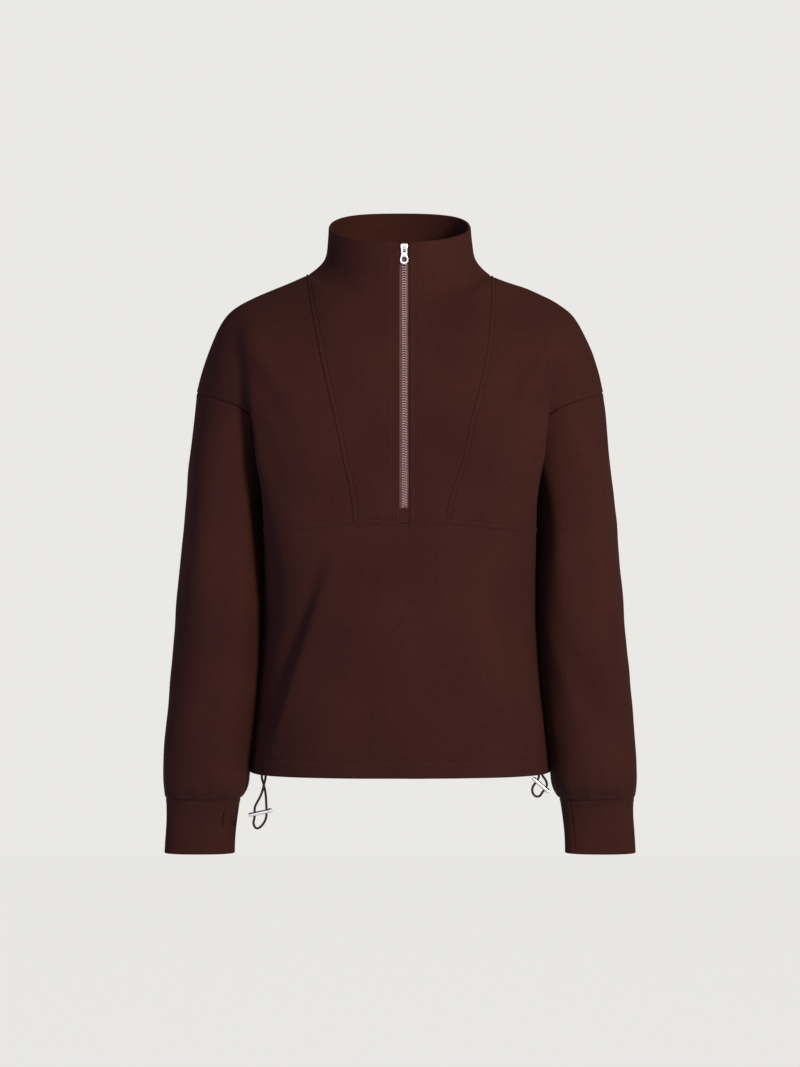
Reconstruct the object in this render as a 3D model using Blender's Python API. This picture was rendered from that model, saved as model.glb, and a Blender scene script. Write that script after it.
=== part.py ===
"""Half-zip sweatshirt, worn shape with nobody in it: cut panels, zip with a hinged pull tab, drawcords.

Metres, +Z up, +Y to the back, +X to the wearer's left. The origin is the middle of the neck, level
with the shoulder seams' inner ends. Tables are in millimetres.
"""

import math

import bmesh
import bpy
import numpy as np
from mathutils import Vector

MM = 0.001

# Driving sizes
CLOTH = 1.8 * MM
DOUBLED_CLOTH = 3.2 * MM
SEAM_GAP = 0.3 * MM
UNDERARM_EASE = 1.3 * MM
HEM_TURN = 17 * MM
ZIP_X = 5.0 * MM
ZIP_OPENING = 10.8 * MM
ZIP_TAPE_HALF = 12 * MM
ZIP_TAPE = 0.8 * MM
ZIP_TAPE_DEPTH = 2.4 * MM
ZIP_CHAIN_HALF = 2.9 * MM
ZIP_CHAIN_DEPTH = 0.5 * MM
CORD = 2.4 * MM
TOGGLE = 5.0 * MM

# Stations up a front or back panel, in rows of the tables below
CHEST = 3
UNDERARM = 4
SHOULDER = 11
COLLAR_TOP = 14
OVER = 2 * SHOULDER

# Steps of the mesh round half an armhole, which the body and the sleeve share
ARMHOLE_STEPS = 14

# Places across a panel, from its centre line out to its side seam or armhole
CENTRE = 0
GUIDE = 1
FOLD = 2
EDGE = 3

# Centre front from the hem to the collar's top: place y, z; the section's run out of the centre;
# and its run back from the princess seam, or from the side of the neck above the shoulder.
CENTRE_FRONT = (
    # y, z, run, back_x, back_y, back_z
    (-112.0, -585.0, 20, -20, -2, 0),
    (-118.0, -500.0, 20, -20, -2, 0),
    (-121.0, -400.0, 19, -19, -2, 0),
    (-123.0, -289.5, 18, -18, -2, 0),
    (-124.5, -228.0, 22, -22, -2, -2),
    (-123.5, -192.0, 24, -24, -3, -3),
    (-120.5, -158.0, 27, -27, -5, -4),
    (-115.5, -126.0, 31, -30, -8, -5),
    (-108.5, -98.0, 36, -32, -14, -7),
    (-100.5, -72.0, 42, -30, -23, -9),
    (-92.0, -50.0, 48, -24, -32, -10),
    (-84.5, -30.0, 52, -15, -39, -10),
    (-79.0, -8.0, 50, -4, -40, -12),
    (-75.5, 17.0, 48, 0, -39, -14),
    (-73.5, 41.0, 47, 0, -39, -14),
)

CENTRE_BACK = (
    # y, z, run, back_x, back_y, back_z
    (108.0, -585.0, 20, -20, 2, 0),
    (108.0, -500.0, 20, -20, 2, 0),
    (106.0, -400.0, 20, -20, 2, 0),
    (110.5, -298.0, 21, -20, 2, 0),
    (115.5, -233.0, 23, -22, 2, 0),
    (117.5, -196.0, 25, -24, 2, 0),
    (118.0, -160.0, 28, -26, 3, 1),
    (116.5, -124.0, 32, -28, 5, 2),
    (112.0, -88.0, 37, -30, 9, 2),
    (104.5, -50.0, 42, -30, 16, 2),
    (94.0, -13.0, 48, -26, 27, 3),
    (82.0, 22.0, 52, -16, 37, 5),
    (77.0, 43.0, 50, -4, 39, 9),
    (72.0, 66.0, 49, 2, 39, 14),
    (66.5, 90.0, 50, 0, 38, 18),
)

# The side of the neck, from the shoulder seam up to the collar's top, and the way out of the cloth
NECK_SIDE = (
    # x, y, z, out_x, out_y, out_z
    (110.0, 0.0, 9.0, 0.50, 0.0, 0.87),
    (92.0, -1.0, 25.0, 0.82, 0.0, 0.57),
    (86.5, -2.0, 43.0, 0.98, 0.0, 0.20),
    (85.0, -3.0, 66.0, 1.00, 0.0, 0.05),
)

# Sections from the front hem (row 0) over the shoulder (row 11) to the back hem (row 22).
# The guide is the princess seam in front, at its own x on each side.
GUIDE_LINE = (
    # right_x, left_x, y, z, run_x, run_y, run_z
    (60.0, 60.0, -108.5, -585.0, 32, 4, 0),
    (58.0, 58.0, -115.0, -500.0, 30, 4, 0),
    (55.0, 57.0, -118.5, -400.0, 30, 4, 0),
    (52.1, 55.6, -121.5, -286.0, 36, 3, -5),
    (62.6, 72.3, -122.5, -222.0, 40, 2, -2),
    (70.0, 81.0, -121.5, -184.0, 38, 3, -5),
    (78.5, 90.0, -117.5, -148.0, 36, 5, -7),
    (86.5, 98.5, -110.0, -113.0, 34, 6, -9),
    (93.5, 104.5, -98.5, -80.0, 33, 5, -11),
    (99.5, 107.5, -79.0, -49.0, 34, 4, -15),
    (105.0, 109.5, -47.0, -19.0, 37, 2, -18),
    (110.0, 110.0, 0.0, 9.0, 40, 0, -18),
    (107.0, 107.0, 50.0, -18.0, 37, -2, -18),
    (103.0, 103.0, 83.0, -53.0, 34, -5, -14),
    (97.0, 97.0, 100.5, -89.0, 33, -5, -12),
    (90.0, 90.0, 109.5, -126.0, 34, -6, -8),
    (82.0, 82.0, 113.5, -162.0, 36, -5, -6),
    (74.0, 74.0, 114.0, -198.0, 36, -3, -4),
    (66.0, 66.0, 112.5, -233.0, 38, -3, -1),
    (60.0, 60.0, 107.5, -298.0, 36, -3, 0),
    (60.0, 60.0, 103.0, -400.0, 30, -4, 0),
    (60.0, 60.0, 105.0, -500.0, 30, -4, 0),
    (60.0, 60.0, 105.0, -585.0, 32, -4, 0),
)

# The fold beside the arm, which is the rounded corner of the section where there is no arm
FOLD_LINE = (
    # x, y, z, run_x, run_y, run_z
    (150.0, -74.0, -585.0, 21, 19, 0),
    (142.5, -78.0, -500.0, 20, 20, 0),
    (137.0, -82.0, -400.0, 18, 22, 0),
    (153.0, -82.0, -295.5, 10, 24, 0),
    (166.5, -86.0, -228.0, -2, 19, 0),
    (170.5, -88.0, -196.0, -3, 15, -3),
    (174.0, -88.0, -166.0, -3, 12, -5),
    (178.0, -85.0, -139.0, -1, 10, -8),
    (184.0, -80.0, -112.0, 5, 8, -12),
    (190.5, -68.0, -85.0, 10, 6, -16),
    (198.0, -40.0, -58.0, 16, 5, -18),
    (205.5, 0.0, -38.5, 15, 0, -16),
    (198.0, 40.0, -58.0, 16, -5, -18),
    (190.5, 66.0, -85.0, 10, -6, -16),
    (183.5, 76.0, -112.0, 6, -8, -12),
    (177.0, 80.0, -140.0, 3, -11, -8),
    (171.0, 82.0, -169.0, -2, -12, -5),
    (166.0, 82.0, -199.0, -2, -15, -3),
    (161.0, 79.0, -231.0, -1, -19, 0),
    (148.0, 77.0, -298.0, 12, -23, 0),
    (137.0, 74.0, -400.0, 19, -21, 0),
    (142.5, 74.0, -500.0, 20, -20, 0),
    (150.0, 72.0, -585.0, 21, -19, 0),
)

# Side seam, armhole and side seam: rows 4 to 18 are the closed armhole, both ends at the underarm
EDGE_LINE = (
    # x, y, z, run_x, run_y, run_z
    (179.0, 0.0, -585.0, 0, -30, 0),
    (170.0, 0.0, -500.0, 0, -30, 0),
    (162.5, 0.0, -400.0, 0, -32, 0),
    (162.0, 0.0, -298.0, 0, -38, 0),
    (156.0, 0.0, -232.0, 0, -40, 1),
    (154.5, -33.0, -219.0, 1, -22, 8),
    (159.0, -56.0, -194.0, 3, -12, 10),
    (169.5, -69.0, -168.0, 3, -8, 10),
    (190.0, -70.0, -152.0, -1, -4, 14),
    (214.0, -58.0, -143.0, -6, -4, 22),
    (234.0, -32.0, -136.0, -5, -3, 30),
    (243.6, 0.0, -132.0, -6, 0, 34),
    (235.0, 32.0, -136.0, -5, 3, 30),
    (216.0, 58.0, -142.0, -6, 4, 22),
    (193.0, 70.0, -151.0, -1, 4, 14),
    (171.0, 69.0, -166.0, 3, 8, 10),
    (159.5, 55.0, -192.0, 3, 12, 10),
    (154.5, 32.0, -218.0, 1, 21, 8),
    (156.0, 0.0, -232.0, 0, 38, 1),
    (162.0, 0.0, -298.0, 0, 36, 0),
    (162.5, 0.0, -400.0, 0, 32, 0),
    (170.0, 0.0, -500.0, 0, 30, 0),
    (179.0, 0.0, -585.0, 0, 30, 0),
)

# Sleeve rings below the armhole; a leaning ring is higher on its outer side
SLEEVE_RINGS = (
    # level, outer_x, inner_x, middle_y, half_depth, lean
    (-245.0, 252.0, 162.4, 0.0, 73.0, 30.0),
    (-325.0, 261.2, 163.4, -2.0, 69.0, 12.0),
    (-415.0, 270.0, 164.0, -5.0, 62.0, 0.0),
    (-505.0, 277.4, 170.9, -9.0, 56.0, 0.0),
    (-572.0, 282.4, 178.3, -12.0, 51.0, 0.0),
    (-601.0, 282.4, 181.4, -13.0, 46.0, 0.0),
    (-616.0, 280.6, 190.0, -14.0, 35.0, 0.0),
)

CUFF_RINGS = (
    # level, outer_x, inner_x, middle_y, half_depth
    (-616.0, 280.1, 190.5, -14.0, 33.5),
    (-623.0, 279.4, 192.0, -14.0, 30.0),
    (-640.0, 279.2, 194.5, -14.0, 26.0),
    (-660.0, 280.2, 196.5, -14.5, 24.5),
    (-681.0, 281.2, 197.0, -15.0, 24.0),
)
TUBE_SQUARENESS = 2.3
CUFF_ROWS = (0.0, 1.0, 1.5, 2.5, 3.2, 4.0)
CUFF_SLIT_ROW = 2
CUFF_SLIT_HALF = 0.07

# The wearer's two sides: direction in X, name, and the cuff slit's place round the cuff's front
SIDES = ((-1, "right", 0.30), (1, "left", 0.24))

# Stations of the hem turn's top and the zip's lower end, and the zip tape's end across a panel
HEM_TURN_STATION = HEM_TURN / MM / (CENTRE_FRONT[1][1] - CENTRE_FRONT[0][1])
ZIP_END = 3.22
ZIP_TAPE_END = 0.08

# Zip slider and pull tab, which hangs on an axis along X through the slider's bridge. Outlines are
# the half on the wearer's left, from the top down, from the slider's middle and the pull's axis.
SLIDER_Y = -75.1 * MM
SLIDER_Z = 36.0 * MM
SLIDER_THICK = 2.0 * MM
SLIDER_OUTLINE = ((3.2, 4.2), (4.2, 3.2), (4.2, -1.0), (2.8, -4.6))
PULL_AXIS_Y = SLIDER_Y - SLIDER_THICK / 2 - 1.55 * MM
PULL_AXIS_Z = 34.3 * MM
BRIDGE_HALF = 1.1
BRIDGE_REACH = 2.15
BRIDGE_EYE = 1.15 * MM
PULL_THICK = 1.2 * MM
PULL_OUTLINE = ((3.5, 0.6), (3.5, -3.0), (3.2, -6.5), (4.7, -12.8))
PULL_END_RADIUS = 4.7
PULL_END_Z = -14.3
PULL_END_STEPS = 10
PULL_WINDOW_HALF = 1.9
PULL_WINDOW_TOP = -0.65
PULL_WINDOW_BOTTOM = -5.0
PULL_HOLE = 2.3 * MM
PULL_HOLE_Z = -13.3 * MM

# Drawcords: the route from the hem and back to it, the toggle's ends, and its holes' places and lines
CORD_STEP = 3 * MM
HOLE_EASE = 0.45 * MM
TOGGLE_COLLAR_RADIUS = 3.1 * MM
TOGGLE_COLLAR_LENGTH = 2.5 * MM
TOGGLE_COLLAR_INSET = 3.0 * MM
CORDS = (
    (
        "right",
        (
            (-158.6, -56.0, -585.4),
            (-159.0, -57.0, -590.5),
            (-160.6, -59.0, -597.0),
            (-163.6, -58.5, -608.0),
            (-169.0, -57.5, -618.5),
            (-171.6, -57.0, -626.0),
            (-171.8, -57.0, -636.0),
            (-173.0, -57.0, -642.5),
            (-169.4, -57.0, -648.6),
            (-163.0, -57.0, -645.2),
            (-158.2, -57.0, -636.5),
            (-157.7, -57.0, -625.0),
            (-158.6, -56.5, -609.0),
            (-161.0, -55.4, -597.0),
            (-162.9, -55.0, -590.5),
            (-163.3, -54.0, -585.4),
        ),
        (-178.5, -57.0, -633.2),
        (-151.0, -57.0, -627.4),
        (
            ((-171.75, -57.0, -631.8), (0, 0, 1)),
            ((-157.8, -57.0, -628.8), (0, 0, 1)),
        ),
    ),
    (
        "left",
        (
            (163.8, -54.5, -585.4),
            (163.9, -55.0, -588.5),
            (160.0, -56.0, -595.0),
            (156.2, -56.0, -602.0),
            (158.4, -56.0, -609.5),
            (164.5, -56.0, -610.8),
            (168.6, -56.0, -605.5),
            (172.6, -55.5, -600.4),
            (173.0, -54.0, -594.0),
            (169.3, -50.5, -588.0),
            (168.0, -49.0, -585.4),
        ),
        (157.0, -56.0, -589.6),
        (175.9, -56.0, -606.0),
        (
            ((161.6, -55.6, -592.6), (-0.54, -0.14, -0.86)),
            ((170.6, -55.8, -603.0), (-0.64, 0, -0.78)),
        ),
    ),
)

# Large soft folds: a line seen from the front or back, its half width, and how far it is raised
BODY_FOLDS = (
    # face, from_x, from_z, to_x, to_z, half_width, raised
    ("front", -98.0, -340.0, -166.0, -540.0, 20.0, -4.5),
    ("front", -76.0, -345.0, -148.0, -552.0, 17.0, 3.0),
    ("front", 116.0, -366.0, 157.0, -540.0, 20.0, -4.0),
    ("front", 186.0, -60.0, 104.0, -205.0, 20.0, 3.0),
    ("front", -184.0, -66.0, -88.0, -180.0, 20.0, 3.0),
    ("front", -196.0, -52.0, -186.0, -130.0, 13.0, -4.0),
    ("front", 196.0, -52.0, 186.0, -130.0, 13.0, -4.0),
    ("back", -60.0, -330.0, -150.0, -520.0, 30.0, -5.0),
    ("back", 40.0, -300.0, 140.0, -470.0, 30.0, -5.0),
    ("back", -176.0, -70.0, -110.0, -220.0, 22.0, 3.0),
    ("back", 178.0, -66.0, 104.0, -230.0, 22.0, 3.0),
)


def clear_scene():
    for thing in list(bpy.data.objects):
        bpy.data.objects.remove(thing, do_unlink=True)


def spline(knots, at, closed=False, pairs=False):
    """Smooth curve through evenly numbered knots, read at knot numbers with fractions.

    With pairs, each knot is a list of points, and value n is read from the curve of point n.
    """
    knots = np.asarray(knots, float)
    at = np.asarray(at, float)
    count = len(knots)
    system = np.eye(count)
    bend = np.zeros_like(knots)
    for row in range(count):
        before, after = row - 1, row + 1
        if closed:
            before, after = before % count, after % count
        elif before < 0 or after >= count:
            continue
        system[row, row] = 4
        system[row, before] = 1
        system[row, after] = 1
        bend[row] = 6 * (knots[before] - 2 * knots[row] + knots[after])
    curve = np.linalg.solve(system, bend.reshape(count, -1)).reshape(knots.shape)
    low = np.clip(np.floor(at).astype(int), 0, (count if closed else count - 1) - 1)
    high = (low + 1) % count
    part = (at - low)[..., None]
    rest = 1 - part
    if pairs:
        own = np.arange(len(at))
        low, high = (low, own), (high, own)
    ends = rest * knots[low] + part * knots[high]
    return ends + ((rest**3 - rest) * curve[low] + (part**3 - part) * curve[high]) / 6


def bezier(start, start_run, end_run, end, part):
    part = part[..., None]
    rest = 1 - part
    return (
        rest**3 * start
        + 3 * rest**2 * part * (start + start_run)
        + 3 * rest * part**2 * (end + end_run)
        + part**3 * end
    )


def edge_line(row):
    """Outer ends of the sections: side seams, and the armhole as a closed loop."""
    table = np.array(EDGE_LINE, float)
    last = OVER - UNDERARM
    on_front = spline(table[: UNDERARM + 1], np.minimum(row, UNDERARM))
    on_back = spline(table[last:], np.maximum(row - last, 0))
    round_arm = np.clip(row - UNDERARM, 0, last - UNDERARM)
    on_armhole = spline(table[UNDERARM:last], round_arm, closed=True)
    on_body = np.where((row < UNDERARM)[..., None], on_front, on_back)
    beside_arm = ((row >= UNDERARM) & (row <= last))[..., None]
    return np.where(beside_arm, on_armhole, on_body)[..., :3], spline(table[:, 3:], row)


def body(side, face, station, across, start_x=None):
    """Points of the worn body: side is -1 or 1, station runs up the panel, across runs outwards.

    Places across start at the centre line, or at start_x where it is given.
    """
    station, across = np.broadcast_arrays(np.asarray(station, float), np.asarray(across, float))
    row = np.minimum(station, SHOULDER)
    row = OVER - row if face == "back" else row
    centre = spline(CENTRE_BACK if face == "back" else CENTRE_FRONT, station)
    guide = spline(GUIDE_LINE, row)
    fold = spline(FOLD_LINE, row)
    edge, edge_run = edge_line(row)
    level = np.zeros_like(station)
    middle = np.stack((level, centre[..., 0], centre[..., 1]), -1)
    middle_run = np.stack((centre[..., 2], level, level), -1)
    seam = np.stack((guide[..., 0 if side < 0 else 1], guide[..., 2], guide[..., 3]), -1)
    neck = spline(NECK_SIDE, np.maximum(station - SHOULDER, 0))
    seam = np.where((station > SHOULDER)[..., None], neck[..., :3], seam)
    part = across - np.clip(np.floor(across), CENTRE, FOLD)
    start = level
    if start_x is not None:
        for _ in range(4):
            reached = bezier(middle, middle_run, centre[..., 3:6], seam, start)[..., 0]
            start = start + (start_x / MM - reached) / (3 * centre[..., 2])
    chest_part = start + (1 - start) * part
    chest = bezier(middle, middle_run, centre[..., 3:6], seam, chest_part)
    shoulder = bezier(seam, guide[..., 4:7], -1.3 * fold[..., 3:6], fold[..., :3], part)
    flank = bezier(fold[..., :3], fold[..., 3:6], edge_run, edge, part)
    outside = np.where((across < FOLD)[..., None], shoulder, flank)
    points = np.where((across < GUIDE)[..., None], chest, outside)
    return points * (side * MM, MM, MM)


def full_width(face, station, across):
    """Points of a panel that crosses the centre; across is negative on the wearer's right."""
    right = body(-1, face, station, -np.minimum(across, 0))
    left = body(1, face, station, np.maximum(across, 0))
    return np.where((across < 0)[..., None], right, left)


def oval(angle, level, outer_x, inner_x, middle_y, half_depth, lean=0.0):
    """Rounded section of a tube of cloth; angle 0 is its outer side and a quarter turn its front."""
    cosine, sine = np.cos(angle), np.sin(angle)
    power = 2 / TUBE_SQUARENESS
    reach = np.sign(cosine) * np.abs(cosine) ** power
    x = (outer_x + inner_x) / 2 + (outer_x - inner_x) / 2 * reach
    y = middle_y - half_depth * np.sign(sine) * np.abs(sine) ** power
    return np.stack((x, y, level + lean * cosine), -1)


def angle_of(around):
    return math.pi * (SHOULDER - around) / (SHOULDER - UNDERARM)


def sleeve(side, along, around):
    """Points of a sleeve: along counts its rings from the armhole, around follows the armhole."""
    along, around = np.broadcast_arrays(np.asarray(along, float), np.asarray(around, float))
    loop = OVER - 2 * UNDERARM
    armhole, _ = edge_line(UNDERARM + np.mod(around.ravel() - UNDERARM, loop))
    armhole[:, 0] += UNDERARM_EASE / MM * np.clip(-1.5 * np.cos(angle_of(around.ravel())), 0, 1)
    rings = [oval(angle_of(around.ravel()), *ring) for ring in SLEEVE_RINGS]
    knots = np.array([armhole] + rings)
    curves = spline(knots, along.ravel(), pairs=True)
    return curves.reshape(along.shape + (3,)) * (side * MM, MM, MM)


def cuff(side, along, around):
    along, around = np.broadcast_arrays(np.asarray(along, float), np.asarray(around, float))
    ring = spline(CUFF_RINGS, along)
    columns = [ring[..., number] for number in range(ring.shape[-1])]
    return oval(angle_of(around), *columns) * (side * MM, MM, MM)


def outward_of(surface, first, second, inside, limit=math.inf):
    """Unit normals of a surface of two parameters, by small steps, pointing away from inside.

    The steps stay within the first parameter's own range, and within the limit of the second's.
    """
    step = 1e-4
    up, down = np.minimum(first + step, first.max()), np.maximum(first - step, first.min())
    right, left = np.minimum(second + step, limit), np.maximum(second - step, -limit)
    along = surface(up, second) - surface(down, second)
    across = surface(first, right) - surface(first, left)
    normal = np.cross(along, across)
    normal /= np.linalg.norm(normal, axis=-1, keepdims=True)
    away = (normal * (surface(first, second) - inside)).sum()
    return normal * math.copysign(1, away)


def raise_folds(points, outward, face):
    """Moves a panel's points out or in along its soft folds."""
    raised = np.zeros(points.shape[:-1])
    for on_face, from_x, from_z, to_x, to_z, half_width, height in BODY_FOLDS:
        if on_face != face:
            continue
        start = np.array((from_x, from_z)) * MM
        line = np.array((to_x, to_z)) * MM - start
        offset = points[..., (0, 2)] - start
        along = np.clip(offset @ line / (line @ line), 0, 1)
        away = np.linalg.norm(offset - along[..., None] * line, axis=-1) / (half_width * MM)
        taper = np.sin(math.pi * (0.08 + 0.84 * along))
        raised += height * MM * taper * np.exp(-1.5 * away**2)
    return points + raised[..., None] * outward


def material(name, colour, roughness, metallic=0.0):
    made = bpy.data.materials.new(name)
    made.use_nodes = True
    shader = made.node_tree.nodes["Principled BSDF"]
    shader.inputs["Base Color"].default_value = (*colour, 1)
    shader.inputs["Roughness"].default_value = roughness
    shader.inputs["Metallic"].default_value = metallic
    return made


def add_object(name, points, faces, finish):
    mesh = bpy.data.meshes.new(name)
    mesh.from_pydata([tuple(point) for point in points], [], faces)
    mesh.validate()
    mesh.materials.append(finish)
    mesh.shade_smooth()
    mesh.set_sharp_from_angle(angle=math.radians(40))
    made = bpy.data.objects.new(name, mesh)
    bpy.context.scene.collection.objects.link(made)
    return made


def wall(name, outer, outward, thickness, finish, closed=False, seams=(1, 1, 1, 1), gone=()):
    """Cloth over a grid of points: an outer face, an inner face, and rims where it ends.

    seams says whether the first row, last row, first column and last column meet another piece,
    and gone holds the (row, column) cells that are open.
    """
    outer = outer.copy()
    edges = ((0, 1), (-1, -2), (0, 1), (-1, -2))
    for number, (edge, inside) in enumerate(edges[: 2 if closed else 4]):
        if seams[number]:
            lines = outer if number < 2 else outer.swapaxes(0, 1)
            move = lines[inside] - lines[edge]
            lines[edge] += SEAM_GAP / 2 * move / np.linalg.norm(move, axis=-1, keepdims=True)
    rows, columns = outer.shape[:2]
    inner = outer - outward * np.broadcast_to(thickness, (rows, columns))[..., None]
    points = np.concatenate((outer.reshape(-1, 3), inner.reshape(-1, 3)))
    inner_start = rows * columns
    turns = np.cross(outer[1:, :-1] - outer[:-1, :-1], outer[:-1, 1:] - outer[:-1, :-1])
    inside_out = (turns * outward[:-1, :-1]).sum() > 0
    faces = []
    rims = set()
    for row in range(rows - 1):
        for column in range(columns if closed else columns - 1):
            if (row, column) in gone:
                continue
            beside = (column + 1) % columns
            low, high = row * columns, (row + 1) * columns
            corners = (low + column, low + beside, high + beside, high + column)
            faces.append(corners)
            faces.append(tuple(inner_start + corner for corner in reversed(corners)))
            for here, there in zip(corners, corners[1:] + corners[:1]):
                if (there, here) in rims:
                    rims.remove((there, here))
                else:
                    rims.add((here, there))
    for here, there in sorted(rims):
        faces.append((there, here, inner_start + here, inner_start + there))
    if inside_out:
        faces = [tuple(reversed(face)) for face in faces]
    return add_object(name, points, faces, finish)


def steps(*spans):
    """Evenly spaced values: each span is (first, last, count), and the next one starts at its end."""
    found = [np.linspace(first, last, count, endpoint=False) for first, last, count in spans]
    return np.concatenate(found + [[spans[-1][1]]])


def panel(name, surface, face, stations, places, thickness, finish, seams=(1, 1, 1, 1)):
    """A cut piece of the body, with its soft folds, between the given stations and places.

    All the pieces that meet on the side of the neck have one direction outwards there.
    """
    up, over = np.meshgrid(stations, places, indexing="ij")
    points = surface(up, over)
    outward = outward_of(surface, up, over, points * (0, 0, 1), EDGE)
    on_neck_side = (up >= SHOULDER) & np.isclose(abs(over), GUIDE)
    shared = spline(NECK_SIDE, np.maximum(up - SHOULDER, 0))[..., 3:]
    shared[..., 0] *= np.sign(points[..., 0])
    outward = np.where(on_neck_side[..., None], shared, outward)
    points = raise_folds(points, outward, face)
    return wall(name, points, outward, thickness(up, over), finish, seams=seams)


def hem_thickness(station, across):
    """Two layers at the hem's turn, one above it."""
    turn = HEM_TURN_STATION
    return np.interp(station, (turn, turn + 0.03), (DOUBLED_CLOTH, CLOTH)) + 0 * across


def zip_front_thickness(station, across):
    """One layer below the neck and over the zip's tape, two in the rest of the collar."""
    in_collar = np.clip((station - SHOULDER + 0.4) / 0.5, 0, 1)
    off_tape = np.clip((across - ZIP_TAPE_END) / 0.1, 0, 1)
    return CLOTH + (DOUBLED_CLOTH - CLOTH) * in_collar * off_tape


def collar_thickness(station, across):
    return DOUBLED_CLOTH + 0 * station * across


def make_body(cloth):
    low_rows = steps((0, HEM_TURN_STATION, 2), (HEM_TURN_STATION, HEM_TURN_STATION + 0.03, 1))
    low_rows = np.concatenate((low_rows[:-1], steps((HEM_TURN_STATION + 0.03, CHEST, 8))))
    high_rows = steps((CHEST, UNDERARM, 2), (UNDERARM, SHOULDER, ARMHOLE_STEPS))
    collar_rows = steps((SHOULDER, COLLAR_TOP, 6))
    half = steps((CENTRE, GUIDE, 5), (GUIDE, FOLD, 5), (FOLD, EDGE, 4))
    whole = np.concatenate((-half[:0:-1], half))

    def lower(station, across):
        return full_width("front", station, across)

    def behind(station, across):
        return full_width("back", station, across)

    panel("lower_front", lower, "front", low_rows, whole, hem_thickness, cloth, (0, 1, 1, 1))
    all_rows = np.concatenate((low_rows[:-1], high_rows))
    panel("back", behind, "back", all_rows, whole, hem_thickness, cloth, (0, 1, 1, 1))
    at_neck = steps((-GUIDE, GUIDE, 10))
    panel("collar_back", behind, "back", collar_rows, at_neck, collar_thickness, cloth, (1, 0, 1, 1))
    for side, name, _ in SIDES:

        def zipped(station, across):
            return body(side, "front", station, across, side * ZIP_X + ZIP_OPENING / 2)

        by_zip = np.array((0, ZIP_TAPE_END, ZIP_TAPE_END + 0.1, 0.45, 0.72, 1.0))
        front_rows = np.concatenate((high_rows[:-1], collar_rows))
        place = f"centre_front_{name}"
        panel(place, zipped, "front", front_rows, by_zip, zip_front_thickness, cloth, (1, 0, 0, 1))
        at_side = steps((GUIDE, FOLD, 5), (FOLD, EDGE, 4))
        panel(f"side_front_{name}", zipped, "front", high_rows, at_side, hem_thickness, cloth)


def make_sleeves(cloth):
    around = steps((UNDERARM, OVER - UNDERARM, 2 * ARMHOLE_STEPS))[:-1]
    for side, name, slit_place in SIDES:

        def tube(along, about):
            return sleeve(side, along, about)

        def band(along, about):
            return cuff(side, along, about)

        along, about = np.meshgrid(steps((0, 1, 3), (1, 5, 8), (5, 7, 4)), around, indexing="ij")
        points = tube(along, about)
        outward = outward_of(tube, along, about, points.mean(axis=1, keepdims=True))
        wall(f"sleeve_{name}", points, outward, CLOTH, cloth, closed=True)
        slit = UNDERARM + slit_place * (SHOULDER - UNDERARM)
        beside = np.sort(np.append(around, (slit - CUFF_SLIT_HALF, slit + CUFF_SLIT_HALF)))
        along, about = np.meshgrid(CUFF_ROWS, beside, indexing="ij")
        points = band(along, about)
        outward = outward_of(band, along, about, points.mean(axis=1, keepdims=True))
        column = int(np.searchsorted(beside, slit)) - 1
        gone = {(CUFF_SLIT_ROW, column)}
        place = f"cuff_{name}"
        wall(place, points, outward, DOUBLED_CLOTH, cloth, True, (1, 0, 0, 0), gone)


def beside_zip(station, offset):
    """Points of the front at a distance to the left or right of the zip's middle."""
    place = ZIP_X + offset
    right = body(-1, "front", station, 0 * place, -place)
    left = body(1, "front", station, 0 * place, place)
    return np.where((place < 0)[..., None], right, left)


def zip_strip(name, stations, half_width, depth, thickness, finish):
    """A strip down the zip, depth under the cloth's outer face."""
    up, over = np.meshgrid(stations, np.linspace(-half_width, half_width, 5), indexing="ij")
    points = beside_zip(up, over)
    outward = outward_of(beside_zip, up, over, points * (0, 0, 1))
    return wall(name, points - outward * depth, outward, thickness, finish, seams=(0, 0, 0, 0))


def make_zip(cloth, tape, metal):
    beside = ZIP_OPENING / 2 - SEAM_GAP
    end_rows = steps((CHEST + 0.005, ZIP_END, 2))
    zip_strip("zip_end_strip", end_rows, beside, 0, CLOTH, cloth)
    tape_rows = steps((ZIP_END - 0.12, COLLAR_TOP - 0.08, 26))
    zip_strip("zip_tape", tape_rows, ZIP_TAPE_HALF, ZIP_TAPE_DEPTH, ZIP_TAPE, tape)
    chain_rows = steps((ZIP_END + 0.03, COLLAR_TOP - 0.08, 26))
    chain_thickness = ZIP_TAPE_DEPTH - ZIP_CHAIN_DEPTH - SEAM_GAP
    zip_strip("zip_chain", chain_rows, ZIP_CHAIN_HALF, ZIP_CHAIN_DEPTH, chain_thickness, metal)


def both_halves(half):
    """A whole outline from its half on the left side of the wearer."""
    return [(-x, z) for x, z in half] + [(x, z) for x, z in reversed(half)]


def plate(name, outline, thickness, place, finish):
    """A flat piece: an outline seen from the front, extruded both ways from its place."""
    count = len(outline)
    front = [(x * MM, -thickness / 2, z * MM) for x, z in outline]
    back = [(x, -y, z) for x, y, z in front]
    faces = [tuple(range(count)), tuple(range(2 * count - 1, count - 1, -1))]
    for here in range(count):
        beside = (here + 1) % count
        faces.append((beside, here, count + here, count + beside))
    made = add_object(name, front + back, faces, finish)
    made.location = place
    return made


def bar(name, radius, length, place, direction, finish, sides=16):
    """A round bar with its middle at place."""
    mesh = bpy.data.meshes.new(name)
    shape = bmesh.new()
    bmesh.ops.create_cone(
        shape, cap_ends=True, segments=sides, radius1=radius, radius2=radius, depth=length
    )
    shape.to_mesh(mesh)
    shape.free()
    mesh.materials.append(finish)
    mesh.shade_smooth()
    mesh.set_sharp_from_angle(angle=math.radians(40))
    made = bpy.data.objects.new(name, mesh)
    bpy.context.scene.collection.objects.link(made)
    made.rotation_euler = Vector(direction).to_track_quat("Z", "Y").to_euler()
    made.location = place
    return made


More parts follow.
